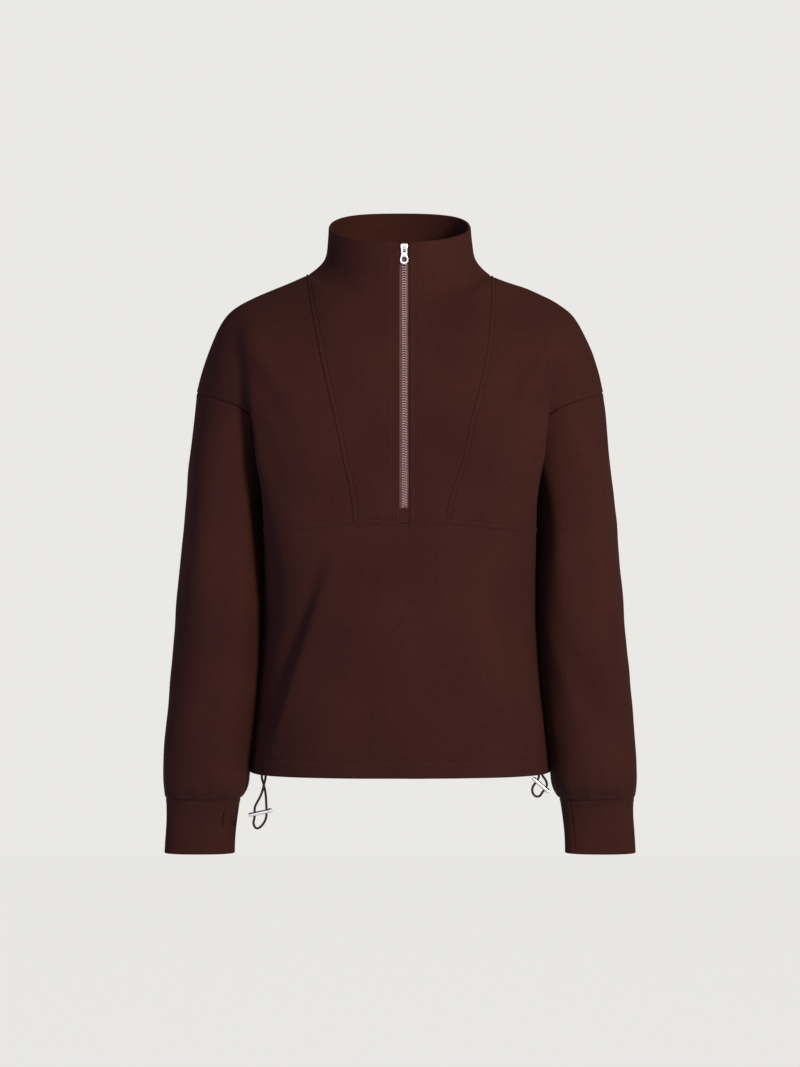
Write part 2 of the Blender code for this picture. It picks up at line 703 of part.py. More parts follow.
def combine(piece, other, operation):
    """Cuts other from piece, or joins it on, and keeps other as a hidden guide."""
    other.hide_render = True
    other.display_type = "WIRE"
    shaping = piece.modifiers.new(other.name, "BOOLEAN")
    shaping.operation = operation
    shaping.object = other


def make_slider(metal):
    """The slider sits on the chain, and its bridge holds the pull tab's top bar."""
    place = Vector((ZIP_X, SLIDER_Y, SLIDER_Z))
    slider = plate("zip_slider", both_halves(SLIDER_OUTLINE), SLIDER_THICK, place, metal)
    front = PULL_AXIS_Y - BRIDGE_REACH * MM
    middle = Vector((ZIP_X, (SLIDER_Y + front) / 2, PULL_AXIS_Z))
    block = both_halves(((BRIDGE_HALF, BRIDGE_REACH), (BRIDGE_HALF, -BRIDGE_REACH)))
    combine(slider, plate("bridge_guide", block, SLIDER_Y - front, middle, metal), "UNION")
    axis = Vector((ZIP_X, PULL_AXIS_Y, PULL_AXIS_Z))
    eye = bar("eye_guide", BRIDGE_EYE, 4 * BRIDGE_HALF * MM, axis, (1, 0, 0), metal)
    combine(slider, eye, "DIFFERENCE")


def make_pull(metal):
    """The pull tab hangs from the slider and turns about its own top bar."""
    place = Vector((ZIP_X, PULL_AXIS_Y, PULL_AXIS_Z))
    half = list(PULL_OUTLINE)
    for number in range(PULL_END_STEPS):
        angle = -math.pi / 2 * number / PULL_END_STEPS
        x = PULL_END_RADIUS * math.cos(angle)
        half.append((x, PULL_END_Z + PULL_END_RADIUS * math.sin(angle)))
    pull = plate("zip_pull", both_halves(half), PULL_THICK, place, metal)
    through = 3 * PULL_THICK
    edge = ((PULL_WINDOW_HALF, PULL_WINDOW_TOP), (PULL_WINDOW_HALF, PULL_WINDOW_BOTTOM))
    window = plate("window_guide", both_halves(edge), through, place, metal)
    combine(pull, window, "DIFFERENCE")
    hole_place = place + Vector((0, 0, PULL_HOLE_Z))
    hole = bar("hole_guide", PULL_HOLE, through, hole_place, (0, 1, 0), metal)
    combine(pull, hole, "DIFFERENCE")


def make_cord(name, route, finish):
    """A cord through the route's points, on a smooth curve read at even lengths."""
    route = np.array(route, float) * MM
    fine = spline(route, np.linspace(0, len(route) - 1, 600))
    lengths = np.concatenate(([0], np.cumsum(np.linalg.norm(np.diff(fine, axis=0), axis=1))))
    count = int(lengths[-1] / CORD_STEP) + 2
    at = np.linspace(0, lengths[-1], count)
    points = np.stack([np.interp(at, lengths, fine[:, axis]) for axis in range(3)], -1)
    curve = bpy.data.curves.new(name, "CURVE")
    curve.dimensions = "3D"
    curve.bevel_depth = CORD / 2
    curve.bevel_resolution = 2
    curve.use_fill_caps = True
    line = curve.splines.new("POLY")
    line.points.add(count - 1)
    for point, place in zip(line.points, points):
        point.co = (*place, 1)
    curve.materials.append(finish)
    made = bpy.data.objects.new(name, curve)
    bpy.context.scene.collection.objects.link(made)


def make_toggle(name, first_end, second_end, strands, metal):
    """A bar toggle with the cord's two strands through it and a collar at one end."""
    first, second = Vector(first_end) * MM, Vector(second_end) * MM
    length = (second - first).length
    direction = (second - first).normalized()
    toggle = bar(name, TOGGLE / 2, length, (first + second) / 2, direction, metal)
    place = second - direction * TOGGLE_COLLAR_INSET
    guide = f"{name}_collar_guide"
    collar = bar(guide, TOGGLE_COLLAR_RADIUS, TOGGLE_COLLAR_LENGTH, place, direction, metal)
    combine(toggle, collar, "UNION")
    for number, (place, along) in enumerate(strands):
        guide = f"{name}_hole_guide_{number}"
        radius = CORD / 2 + HOLE_EASE
        hole = bar(guide, radius, 3 * TOGGLE, Vector(place) * MM, along, metal, 12)
        combine(toggle, hole, "DIFFERENCE")


def main():
    clear_scene()
    cloth = material("brushed_knit", (0.052, 0.018, 0.013), 0.9)
    tape = material("woven_tape", (0.13, 0.07, 0.065), 0.8)
    chain = material("zip_teeth", (0.2, 0.12, 0.11), 0.45, 0.3)
    metal = material("bright_nickel", (0.75, 0.75, 0.77), 0.2, 1.0)
    cord = material("braided_cord", (0.03, 0.014, 0.012), 0.75)
    make_body(cloth)
    make_sleeves(cloth)
    make_zip(cloth, tape, chain)
    make_slider(metal)
    make_pull(metal)
    for side_name, route, first_end, second_end, strands in CORDS:
        make_cord(f"cord_{side_name}", route, cord)
        make_toggle(f"toggle_{side_name}", first_end, second_end, strands, metal)


main()
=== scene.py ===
"""Half-zip sweatshirt in brushed brown knit, in its worn shape with nobody in it.

Metres, +Z up, +Y to the back, +X to the wearer's left. Tables are in millimetres, and the origin is the
middle of the neck, level with the shoulder seams' inner ends.
"""

import logging
import math
from collections.abc import Callable, Sequence
from dataclasses import dataclass, field
from enum import Enum
from functools import partial

import bmesh
import bpy
import numpy as np
from mathutils import Matrix, Vector


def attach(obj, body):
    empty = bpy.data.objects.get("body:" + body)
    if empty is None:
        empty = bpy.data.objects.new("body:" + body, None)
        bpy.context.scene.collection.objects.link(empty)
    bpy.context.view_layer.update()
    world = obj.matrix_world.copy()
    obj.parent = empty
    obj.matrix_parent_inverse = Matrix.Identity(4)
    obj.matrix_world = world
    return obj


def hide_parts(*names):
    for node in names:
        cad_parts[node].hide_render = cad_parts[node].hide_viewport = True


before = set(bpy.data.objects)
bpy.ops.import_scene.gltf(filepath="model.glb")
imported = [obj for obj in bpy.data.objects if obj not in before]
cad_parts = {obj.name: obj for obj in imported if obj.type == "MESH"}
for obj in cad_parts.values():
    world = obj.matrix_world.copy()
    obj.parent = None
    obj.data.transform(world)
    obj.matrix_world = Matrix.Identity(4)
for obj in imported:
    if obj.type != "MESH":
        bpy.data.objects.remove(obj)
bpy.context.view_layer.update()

LOG = logging.getLogger("sweatshirt")
MM = 0.001

# Cloth, zip, cords and thread: thicknesses, widths and distances
CLOTH = 1.8
DOUBLED_CLOTH = 3.2
UNDERARM_EASE = 1.3
HEM_TURN = 17
ZIP_X = 5.0
ZIP_OPENING = 10.8
ZIP_TAPE_HALF = 12
ZIP_TAPE_GAP = 1.3
ZIP_TAPE = 0.8
ZIP_TAPE_DEPTH = 2.4
CORD = 2.8
TOGGLE = 5.0
THREAD = 0.42
STITCH = 2.3
STITCH_PITCH = 3.0
STITCH_TAPER = 0.45
STITCH_ARCH = 0.34
STITCH_SUNK = 0.16
TOOTH_PITCH = 2.9

# Stations up a front or back panel, in rows of the tables below
CHEST = 3
UNDERARM = 4
SHOULDER = 11
COLLAR_TOP = 14
OVER = 2 * SHOULDER
ARMHOLE_LOOP = OVER - 2 * UNDERARM

# Places across a panel, from its centre line out to its side seam or armhole
CENTRE = 0
GUIDE = 1
FOLD = 2
EDGE = 3

# Centre front from the hem to the collar's top: place y, z; the section's run out of the centre;
# and its run back from the princess seam, or from the side of the neck above the shoulder.
CENTRE_FRONT = (
    # y, z, run, back_x, back_y, back_z
    (-112, -585, 20, -20, -2, 0),
    (-118, -500, 20, -20, -2, 0),
    (-121, -400, 19, -19, -2, 0),
    (-123, -289.5, 18, -18, -2, 0),
    (-124.5, -228, 22, -22, -2, -2),
    (-123.5, -192, 24, -24, -3, -3),
    (-120.5, -158, 27, -27, -5, -4),
    (-115.5, -126, 31, -30, -8, -5),
    (-108.5, -98, 36, -32, -14, -7),
    (-100.5, -72, 42, -30, -23, -9),
    (-92, -50, 48, -24, -32, -10),
    (-84.5, -30, 52, -15, -39, -10),
    (-79, -8, 50, -4, -40, -12),
    (-75.5, 17, 48, 0, -39, -14),
    (-73.5, 41, 47, 0, -39, -14),
)

CENTRE_BACK = (
    # y, z, run, back_x, back_y, back_z
    (108, -585, 20, -20, 2, 0),
    (108, -500, 20, -20, 2, 0),
    (106, -400, 20, -20, 2, 0),
    (110.5, -298, 21, -20, 2, 0),
    (115.5, -233, 23, -22, 2, 0),
    (117.5, -196, 25, -24, 2, 0),
    (118, -160, 28, -26, 3, 1),
    (116.5, -124, 32, -28, 5, 2),
    (112, -88, 37, -30, 9, 2),
    (104.5, -50, 42, -30, 16, 2),
    (94, -13, 48, -26, 27, 3),
    (82, 22, 52, -16, 37, 5),
    (77, 43, 50, -4, 39, 9),
    (72, 66, 49, 2, 39, 14),
    (66.5, 90, 50, 0, 38, 18),
)

# The side of the neck, from the shoulder seam up to the collar's top, and the way out of the cloth
NECK_SIDE = (
    # x, y, z, out_x, out_y, out_z
    (110, 0, 9, 0.50, 0, 0.87),
    (92, -1, 25, 0.82, 0, 0.57),
    (86.5, -2, 43, 0.98, 0, 0.20),
    (85, -3, 66, 1.00, 0, 0.05),
)

# Sections from the front hem (row 0) over the shoulder (row 11) to the back hem (row 22).
# The guide is the princess seam in front, at its own x on each side.
GUIDE_LINE = (
    # right_x, left_x, y, z, run_x, run_y, run_z
    (60, 60, -108.5, -585, 32, 4, 0),
    (58, 58, -115, -500, 30, 4, 0),
    (55, 57, -118.5, -400, 30, 4, 0),
    (52.1, 55.6, -121.5, -286, 36, 3, -5),
    (62.6, 72.3, -122.5, -222, 40, 2, -2),
    (70, 81, -121.5, -184, 38, 3, -5),
    (78.5, 90, -117.5, -148, 36, 5, -7),
    (86.5, 98.5, -110, -113, 34, 6, -9),
    (93.5, 104.5, -98.5, -80, 33, 5, -11),
    (99.5, 107.5, -79, -49, 34, 4, -15),
    (105, 109.5, -47, -19, 37, 2, -18),
    (110, 110, 0, 9, 40, 0, -18),
    (107, 107, 50, -18, 37, -2, -18),
    (103, 103, 83, -53, 34, -5, -14),
    (97, 97, 100.5, -89, 33, -5, -12),
    (90, 90, 109.5, -126, 34, -6, -8),
    (82, 82, 113.5, -162, 36, -5, -6),
    (74, 74, 114, -198, 36, -3, -4),
    (66, 66, 112.5, -233, 38, -3, -1),
    (60, 60, 107.5, -298, 36, -3, 0),
    (60, 60, 103, -400, 30, -4, 0),
    (60, 60, 105, -500, 30, -4, 0),
    (60, 60, 105, -585, 32, -4, 0),
)

# The fold beside the arm, which is the rounded corner of the section where there is no arm
FOLD_LINE = (
    # x, y, z, run_x, run_y, run_z
    (150, -74, -585, 21, 19, 0),
    (142.5, -78, -500, 20, 20, 0),
    (137, -82, -400, 18, 22, 0),
    (153, -82, -295.5, 10, 24, 0),
    (166.5, -86, -228, -2, 19, 0),
    (170.5, -88, -196, -3, 15, -3),
    (174, -88, -166, -3, 12, -5),
    (178, -85, -139, -1, 10, -8),
    (184, -80, -112, 5, 8, -12),
    (190.5, -68, -85, 10, 6, -16),
    (198, -40, -58, 16, 5, -18),
    (205.5, 0, -38.5, 15, 0, -16),
    (198, 40, -58, 16, -5, -18),
    (190.5, 66, -85, 10, -6, -16),
    (183.5, 76, -112, 6, -8, -12),
    (177, 80, -140, 3, -11, -8),
    (171, 82, -169, -2, -12, -5),
    (166, 82, -199, -2, -15, -3),
    (161, 79, -231, -1, -19, 0),
    (148, 77, -298, 12, -23, 0),
    (137, 74, -400, 19, -21, 0),
    (142.5, 74, -500, 20, -20, 0),
    (150, 72, -585, 21, -19, 0),
)

# Side seam, armhole and side seam: rows 4 to 18 are the closed armhole, both ends at the underarm
EDGE_LINE = (
    # x, y, z, run_x, run_y, run_z
    (179, 0, -585, 0, -30, 0),
    (170, 0, -500, 0, -30, 0),
    (162.5, 0, -400, 0, -32, 0),
    (162, 0, -298, 0, -38, 0),
    (156, 0, -232, 0, -40, 1),
    (154.5, -33, -219, 1, -22, 8),
    (159, -56, -194, 3, -12, 10),
    (169.5, -69, -168, 3, -8, 10),
    (190, -70, -152, -1, -4, 14),
    (214, -58, -143, -6, -4, 22),
    (234, -32, -136, -5, -3, 30),
    (243.6, 0, -132, -6, 0, 34),
    (235, 32, -136, -5, 3, 30),
    (216, 58, -142, -6, 4, 22),
    (193, 70, -151, -1, 4, 14),
    (171, 69, -166, 3, 8, 10),
    (159.5, 55, -192, 3, 12, 10),
    (154.5, 32, -218, 1, 21, 8),
    (156, 0, -232, 0, 38, 1),
    (162, 0, -298, 0, 36, 0),
    (162.5, 0, -400, 0, 32, 0),
    (170, 0, -500, 0, 30, 0),
    (179, 0, -585, 0, 30, 0),
)

# Sleeve rings below the armhole; a leaning ring is higher on its outer side
SLEEVE_RINGS = (
    # level, outer_x, inner_x, middle_y, half_depth, lean
    (-245, 252, 162.4, 0, 73, 30),
    (-325, 261.2, 163.4, -2, 69, 12),
    (-415, 270, 164, -5, 62, 0),
    (-505, 277.4, 170.9, -9, 56, 0),
    (-572, 282.4, 178.3, -12, 51, 0),
    (-601, 282.4, 181.4, -13, 46, 0),
    (-616, 280.6, 190, -14, 35, 0),
)

CUFF_RINGS = (
    # level, outer_x, inner_x, middle_y, half_depth
    (-616, 280.1, 190.5, -14, 33.5),
    (-623, 279.4, 192, -14, 30),
    (-640, 279.2, 194.5, -14, 26),
    (-660, 280.2, 196.5, -14.5, 24.5),
    (-681, 281.2, 197, -15, 24),
)
TUBE_SQUARENESS = 2.3

# The thumb's slit: its middle ring and half its length in rings, how far it opens and how far round
# that spreads, in places round the cuff, and the columns beside it
CUFF_SLIT_ROW = 2.0
CUFF_SLIT_HALF = 0.5
CUFF_SLIT_REACH = 0.02
CUFF_SLIT_SPREAD = 0.3
CUFF_SLIT_COLUMNS = (-0.14, -0.07, -0.01, 0.01, 0.07, 0.14)
CUFF_SLIT_CLEAR = 0.16

# Millimetres to one place round a sleeve and round a cuff, near their seams
SLEEVE_PLACE = 27.0
CUFF_PLACE = 15.7

# Gathers where the sleeve is drawn into its cuff: their height, number, reach up, and start
GATHER = 0.75
GATHER_COUNT = 15
GATHER_REACH = 24
GATHER_START = 3

# The wearer's two sides: direction in X, name, and the cuff slit's place round the cuff's front
SIDES = ((-1, "right", 0.30), (1, "left", 0.24))

# Station of the zip's lower end
ZIP_END = 3.22

# Zip slider and pull tab, which hangs on an axis along X through the slider's bridge. Outlines are
# the half on the wearer's left, from the top down, from the slider's middle and the pull's axis.
SLIDER_Y = -75.1
SLIDER_Z = 36.0
SLIDER_THICK = 2.0
SLIDER_OUTLINE = ((3.2, 4.2), (4.2, 3.2), (4.2, -1), (2.8, -4.6))
PULL_AXIS_Y = SLIDER_Y - SLIDER_THICK / 2 - 1.55
PULL_AXIS_Z = 34.3
BRIDGE_HALF = 1.1
BRIDGE_REACH = 2.15
BRIDGE_EYE = 1.15
BRIDGE_STEPS = 17
SLIDER_BEVEL = 0.3
PULL_THICK = 1.2
PULL_OUTLINE = ((3.5, 0.6), (3.5, -3), (3.2, -6.5), (4.7, -12.8))
PULL_END_RADIUS = 4.7
PULL_END_Z = -14.3
PULL_END_STEPS = 16
PULL_WINDOW_HALF = 1.9
PULL_WINDOW_TOP = -0.65
PULL_WINDOW_BOTTOM = -5.0
PULL_HOLE = 3.1
PULL_HOLE_Z = -13.3
PULL_BEVEL = 0.24

# Drawcords and toggles. Each cord has its name, the route from the hem and back to it, the toggle's
# ends, and the places and lines of the toggle's holes.
CORD_STEP = 1.6
CORD_SIDES = 14
HOLE_EASE = 0.45
TOGGLE_ROUND = 0.7
TOGGLE_COLLAR_ROUND = 0.5
TOGGLE_COLLAR_RADIUS = 3.1
TOGGLE_COLLAR_LENGTH = 2.5
TOGGLE_COLLAR_INSET = 3.0
CORDS = (
    (
        "right",
        (
            (-158.6, -56, -585.4),
            (-159, -57, -590.5),
            (-160.6, -59, -597),
            (-163.6, -58.5, -608),
            (-169, -57.5, -618.5),
            (-171.6, -57, -626),
            (-171.8, -57, -636),
            (-173, -57, -642.5),
            (-169.4, -57, -648.6),
            (-163, -57, -645.2),
            (-158.2, -57, -636.5),
            (-157.7, -57, -625),
            (-158.6, -56.5, -609),
            (-161, -55.4, -597),
            (-162.9, -55, -590.5),
            (-163.3, -54, -585.4),
        ),
        (-178.5, -57, -633.2),
        (-151, -57, -627.4),
        (
            ((-171.75, -57, -631.8), (0, 0, 1)),
            ((-157.8, -57, -628.8), (0, 0, 1)),
        ),
    ),
    (
        "left",
        (
            (163.8, -54.5, -585.4),
            (163.9, -55, -588.5),
            (160, -56, -595),
            (156.2, -56, -602),
            (158.4, -56, -609.5),
            (164.5, -56, -610.8),
            (168.6, -56, -605.5),
            (172.6, -55.5, -600.4),
            (173, -54, -594),
            (169.3, -50.5, -588),
            (168, -49, -585.4),
        ),
        (157, -56, -589.6),
        (175.9, -56, -606),
        (
            ((161.6, -55.6, -592.6), (-0.54, -0.14, -0.86)),
            ((170.6, -55.8, -603), (-0.64, 0, -0.78)),
        ),
    ),
)

# Large soft folds: a line seen from the front or back, its half width, and how far it is raised
BODY_FOLDS = (
    # face, from_x, from_z, to_x, to_z, half_width, raised
    ("front", -98, -340, -166, -540, 20, -4.5),
    ("front", -76, -345, -148, -552, 17, 3),
    ("front", 116, -366, 157, -540, 20, -4),
    ("front", 186, -60, 104, -205, 20, 3),
    ("front", -184, -66, -88, -180, 20, 3),
    ("front", -196, -52, -186, -130, 13, -4),
    ("front", 196, -52, 186, -130, 13, -4),
    ("back", -60, -330, -150, -520, 30, -5),
    ("back", 40, -300, 140, -470, 30, -5),
    ("back", -176, -70, -110, -220, 22, 3),
    ("back", 178, -66, 104, -230, 22, 3),
)

# A zip tooth seen from outside, its depth, and its place beside the zip's middle and under the cloth's face
TOOTH_OUTLINE = ((-1.5, 0.6), (0.5, 0.66), (1.5, 0.5), (1.5, -0.5), (0.5, -0.66), (-1.5, -0.6))
TOOTH_SLANT = 0.4
TOOTH_DEEP = 1.7
TOOTH_PLACE = 1.35
TOOTH_DEPTH = 1.4
TOOTH_BEVEL = 0.28

# How far the body's sides lean over the sleeves, how far from the side seam and how widely, and how
# much more they do behind, within a reach above the hem
SIDE_LEAN = 1.3
SIDE_LEAN_PLACE = 14.0
SIDE_LEAN_WIDE = 7
HEM_LEAN = 1.5
HEM_LEAN_REACH = 70

# Depth and half width of the groove at a plain seam, a side seam, a row of stitches and the zip's
# edge, and of the lift beside a plain seam, with its distance
PLAIN_GROOVE = (0.9, 0.9)
PLAIN_LIFT = (0.3, 2.2)
PLAIN_LIFT_PLACE = 3.2
SIDE_GROOVE = (0.25, 0.8)
STITCH_GROOVE = (0.72, 0.55)
ZIP_GROOVE = (0.9, 0.75)

# Seams stitched flat on both sides: the band's height and edge, and the grooves at its edge and middle
BAND_LIFT = 0.8
BAND_EDGE = 0.2
BAND_GROOVE = (1.1, 0.62)
BAND_SEAM = (0.15, 0.4)

# Roundness of a turned cloth edge, as a share of half its thickness, and its steps
EDGE_ROUND = 0.6
EDGE_STEPS = 5

# The length of cloth that the turn at the neck is rounded over
NECK_ROUNDING = 9.0

# The stage: its floor's height and half its size, in metres, and its paper's colour
STAGE_FLOOR = -1.35
STAGE_HALF = 6.0
PAPER = "#eae9e5"

# The camera, in metres, level with the photo's middle and as far as its perspective tells
CAMERA_PLACE = (0, -3.5, -0.3006)
CAMERA_LENS = 98.4
CAMERA_SENSOR = 36

# Lamps: name, place in metres, size, power and colour. They look at the sweatshirt's middle. The
# panel is seen by shiny things alone.
LAMP_TARGET = (0, 0, -0.3)
LAMPS = (
    ("key", (1.6, -2.6, 0.4), 0.6, 74, "#fff0e2"),
    ("left_fill", (-2.3, -1.5, -0.1), 1.2, 15, "#bb9dff"),
    ("low_fill", (1.9, -1.6, -1.2), 1, 11, "#bb9dff"),
    ("top", (0.3, -0.7, 1.9), 1.2, 5, "#ffffff"),
    ("panel", (-0.5, -3.9, 0.5), 2, 30, "#ffffff"),
)
AIR = "#f2e8f2"
AIR_STRENGTH = 0.15

# Creases seen from the front or the back: a bent line, its half width and how far it is raised
CREASES = (
    # face, from_x, from_z, bend_x, bend_z, to_x, to_z, half_width, raised
    ("front", -78, -330, -112, -430, -152, -560, 7, 2.4),
    ("front", -92, -330, -128, -430, -166, -552, 10, -3.2),
    ("front", 112, -352, 132, -440, 156, -548, 10, -2.4),
    ("front", 136, -350, 148, -430, 168, -560, 8, 1.8),
    ("front", 60, -380, 80, -460, 96, -560, 17, -0.9),
    ("front", -20, -420, -34, -500, -60, -575, 18, -0.9),
    ("front", -76, 12, -62, -6, -44, -26, 5, -1.5),
    ("front", -84, 4, -72, -16, -54, -36, 6, 0.8),
    ("front", 82, 6, 66, -12, 44, -24, 8, -0.8),
    ("front", 176, -78, 150, -150, 112, -226, 12, 1.4),
    ("front", 160, -66, 132, -130, 96, -190, 14, -1.5),
    ("front", 168, -150, 162, -200, 140, -262, 11, -1.2),
    ("front", -172, -84, -144, -140, -104, -196, 12, 1.4),
    ("front", -158, -66, -128, -122, -92, -168, 14, -1.3),
    ("front", -166, -160, -158, -205, -138, -250, 11, -1.1),
    ("front", -206, -70, -214, -104, -214, -140, 10, 1.2),
    ("front", 206, -70, 214, -104, 214, -140, 10, 1.2),
    ("back", -88, -300, -118, -400, -150, -540, 13, -2),
    ("back", -64, -310, -96, -410, -128, -550, 12, 1.4),
    ("back", 72, -290, 104, -390, 146, -520, 13, -2),
    ("back", 50, -300, 82, -400, 122, -540, 12, 1.3),
    ("back", -4, -330, 10, -430, 4, -560, 22, -1),
    ("back", -178, -84, -146, -150, -104, -214, 12, 1.4),
    ("back", -160, -76, -128, -140, -90, -196, 14, -1.5),
    ("back", 176, -84, 150, -146, 112, -220, 12, 1.3),
    ("back", 160, -70, 132, -136, 96, -200, 14, -1.4),
    ("back", -168, -150, -158, -206, -134, -268, 11, -1.3),
    ("back", 168, -150, 158, -206, 134, -268, 11, -1.3),
)

# Sleeve folds: turns are degrees round the sleeve, from its outer side over its front
SLEEVE_FOLDS = (
    # side, from_turn, from_z, to_turn, to_z, half_width, raised
    (-1, 128, -170, 118, -420, 13, 2),
    (-1, 96, -190, 92, -470, 15, -1.8),
    (-1, 60, -180, 66, -380, 16, 1.2),
    (-1, 116, -430, 70, -560, 12, -1.5),
    (-1, 140, -380, 96, -540, 12, 1.4),
    (-1, 30, -300, 44, -520, 18, -1.1),
    (-1, 250, -180, 240, -420, 15, -1.8),
    (-1, 282, -230, 290, -500, 16, 1.4),
    (-1, 230, -400, 270, -560, 13, -1.5),
    (1, 126, -172, 116, -400, 13, 2),
    (1, 94, -190, 88, -450, 15, -1.7),
    (1, 58, -180, 62, -400, 16, 1.3),
    (1, 112, -410, 74, -556, 12, -1.4),
    (1, 138, -400, 100, -550, 12, 1.3),
    (1, 26, -320, 40, -520, 18, -1),
    (1, 252, -180, 242, -420, 15, -1.7),
    (1, 284, -230, 288, -500, 16, 1.3),
    (1, 228, -410, 268, -556, 13, -1.4),
)
SLEEVE_RADIUS = 54.0

# Faint unevenness of the hanging cloth: waves through the row frame
WAVES = (
    # cycles_x, cycles_y, cycles_z, phase, raised
    (7.1, 2, 5.3, 0.4, 0.34),
    (-5.2, 4.1, 9.7, 1.9, 0.30),
    (11.3, -3, -6.9, 3.1, 0.24),
    (-9.7, 6.2, 12.9, 4.6, 0.20),
    (15.8, 9, 8.3, 5.4, 0.13),
    (-18.9, -7, 21.1, 0.9, 0.10),
    (24.2, 11, -26.7, 2.6, 0.06),
)

# Extra columns or rows beside an edge, by distance from it
BESIDE_PLAIN = (0, 0.5, 1.1, 2, 3.4)
BESIDE_BAND = (0, 0.9, 1.7, 2.2, 2.7, 3.2, 3.9, 5.2)
BESIDE_CHEST = (0, 1.2, 2.3, 2.9, 3.4, 3.9, 4.7, 6.2)
BESIDE_ZIP = (0, 0.4, 0.9, 1.6, 3, 4.9, 5.6, 6.2, 6.8, 7.5, 8.1, 8.7, 9.3, 10.6)
BESIDE_HEM = (0, 1.6, 5, 9, 13, 15, 15.6, 16.2, 17.2, 18.2, 18.8, 19.4, 21)
BESIDE_END = (0, 1.4, 3.6)
BAND_HALF = 2.7
CHEST_BAND_HALF = 3.4
ZIP_ROWS = (6.2, 8.7)
HEM_ROWS = (16.2, 18.8)
BODY_SPACING = 3.7
SLEEVE_SPACING = 3.8
CUFF_SPACING = 2.4

# Angles past which a mesh shows an edge
CLOTH_EDGE = math.radians(55)
TUBE_EDGE = math.radians(60)
HARD_EDGE = math.radians(44)

Surface = Callable[[np.ndarray, np.ndarray], np.ndarray]


def linear(code: str) -> tuple[float, float, float, float]:
    """Turns an sRGB colour into linear light.

    Args:
        code: The colour as six hex digits after a hash sign.

    Returns:
        Red, green, blue and an alpha of 1.
    """
    shares = [int(code[place : place + 2], 16) / 255 for place in (1, 3, 5)]
    light = [s / 12.92 if s <= 0.04045 else ((s + 0.055) / 1.055) ** 2.4 for s in shares]
    return (*light, 1.0)


class Face(Enum):
    """The half of the body that a panel lies on."""

    FRONT = "front"
    BACK = "back"


def spline(knots: Sequence, at: np.ndarray, closed: bool = False, pairs: bool = False) -> np.ndarray:
    """Reads a smooth curve through evenly numbered knots.

    Args:
        knots: The knots, or with pairs a list of points for each knot.
        at: Knot numbers with fractions.
        closed: Whether the last knot joins the first.
        pairs: Whether value n is read from the curve of point n.

    Returns:
        The curve's values.
    """
    knots = np.asarray(knots, float)
    at = np.asarray(at, float)
    count = len(knots)
    system = np.eye(count)
    bend = np.zeros_like(knots)
    for row in range(count):
        before, after = row - 1, row + 1
        if closed:
            before, after = before % count, after % count
        elif before < 0 or after >= count:
            continue
        system[row, row] = 4
        system[row, before] = 1
        system[row, after] = 1
        bend[row] = 6 * (knots[before] - 2 * knots[row] + knots[after])
    curve = np.linalg.solve(system, bend.reshape(count, -1)).reshape(knots.shape)
    low = np.clip(np.floor(at).astype(int), 0, (count if closed else count - 1) - 1)
    high = (low + 1) % count
    part = (at - low)[..., None]
    rest = 1 - part
    if pairs:
        own = np.arange(len(at))
        low, high = (low, own), (high, own)
    ends = rest * knots[low] + part * knots[high]
    return ends + ((rest**3 - rest) * curve[low] + (part**3 - part) * curve[high]) / 6


def bezier(
    start: np.ndarray, start_run: np.ndarray, end_run: np.ndarray, end: np.ndarray, part: np.ndarray
) -> np.ndarray:
    """Reads a cubic curve.

    Args:
        start: Its first point.
        start_run: From the first point to the first handle.
        end_run: From the last point to the second handle.
        end: Its last point.
        part: Share of the way along.

    Returns:
        The points on it.
    """
    part = part[..., None]
    rest = 1 - part
    first, second = start + start_run, end + end_run
    return rest**3 * start + 3 * rest**2 * part * first + 3 * rest * part**2 * second + part**3 * end


def edge_line(row: np.ndarray) -> tuple[np.ndarray, np.ndarray]:
    """Reads the outer ends of the sections: side seams, and the armhole as a closed loop.

    Args:
        row: Section numbers, from the front hem over the shoulder to the back hem.

    Returns:
        The points and their handles.
    """
    table = np.array(EDGE_LINE, float)
    last = OVER - UNDERARM
    on_front = spline(table[: UNDERARM + 1], np.minimum(row, UNDERARM))
    on_back = spline(table[last:], np.maximum(row - last, 0))
    round_arm = np.clip(row - UNDERARM, 0, last - UNDERARM)
    on_armhole = spline(table[UNDERARM:last], round_arm, closed=True)
    on_body = np.where((row < UNDERARM)[..., None], on_front, on_back)
    beside_arm = ((row >= UNDERARM) & (row <= last))[..., None]
    return np.where(beside_arm, on_armhole, on_body)[..., :3], spline(table[:, 3:], row)


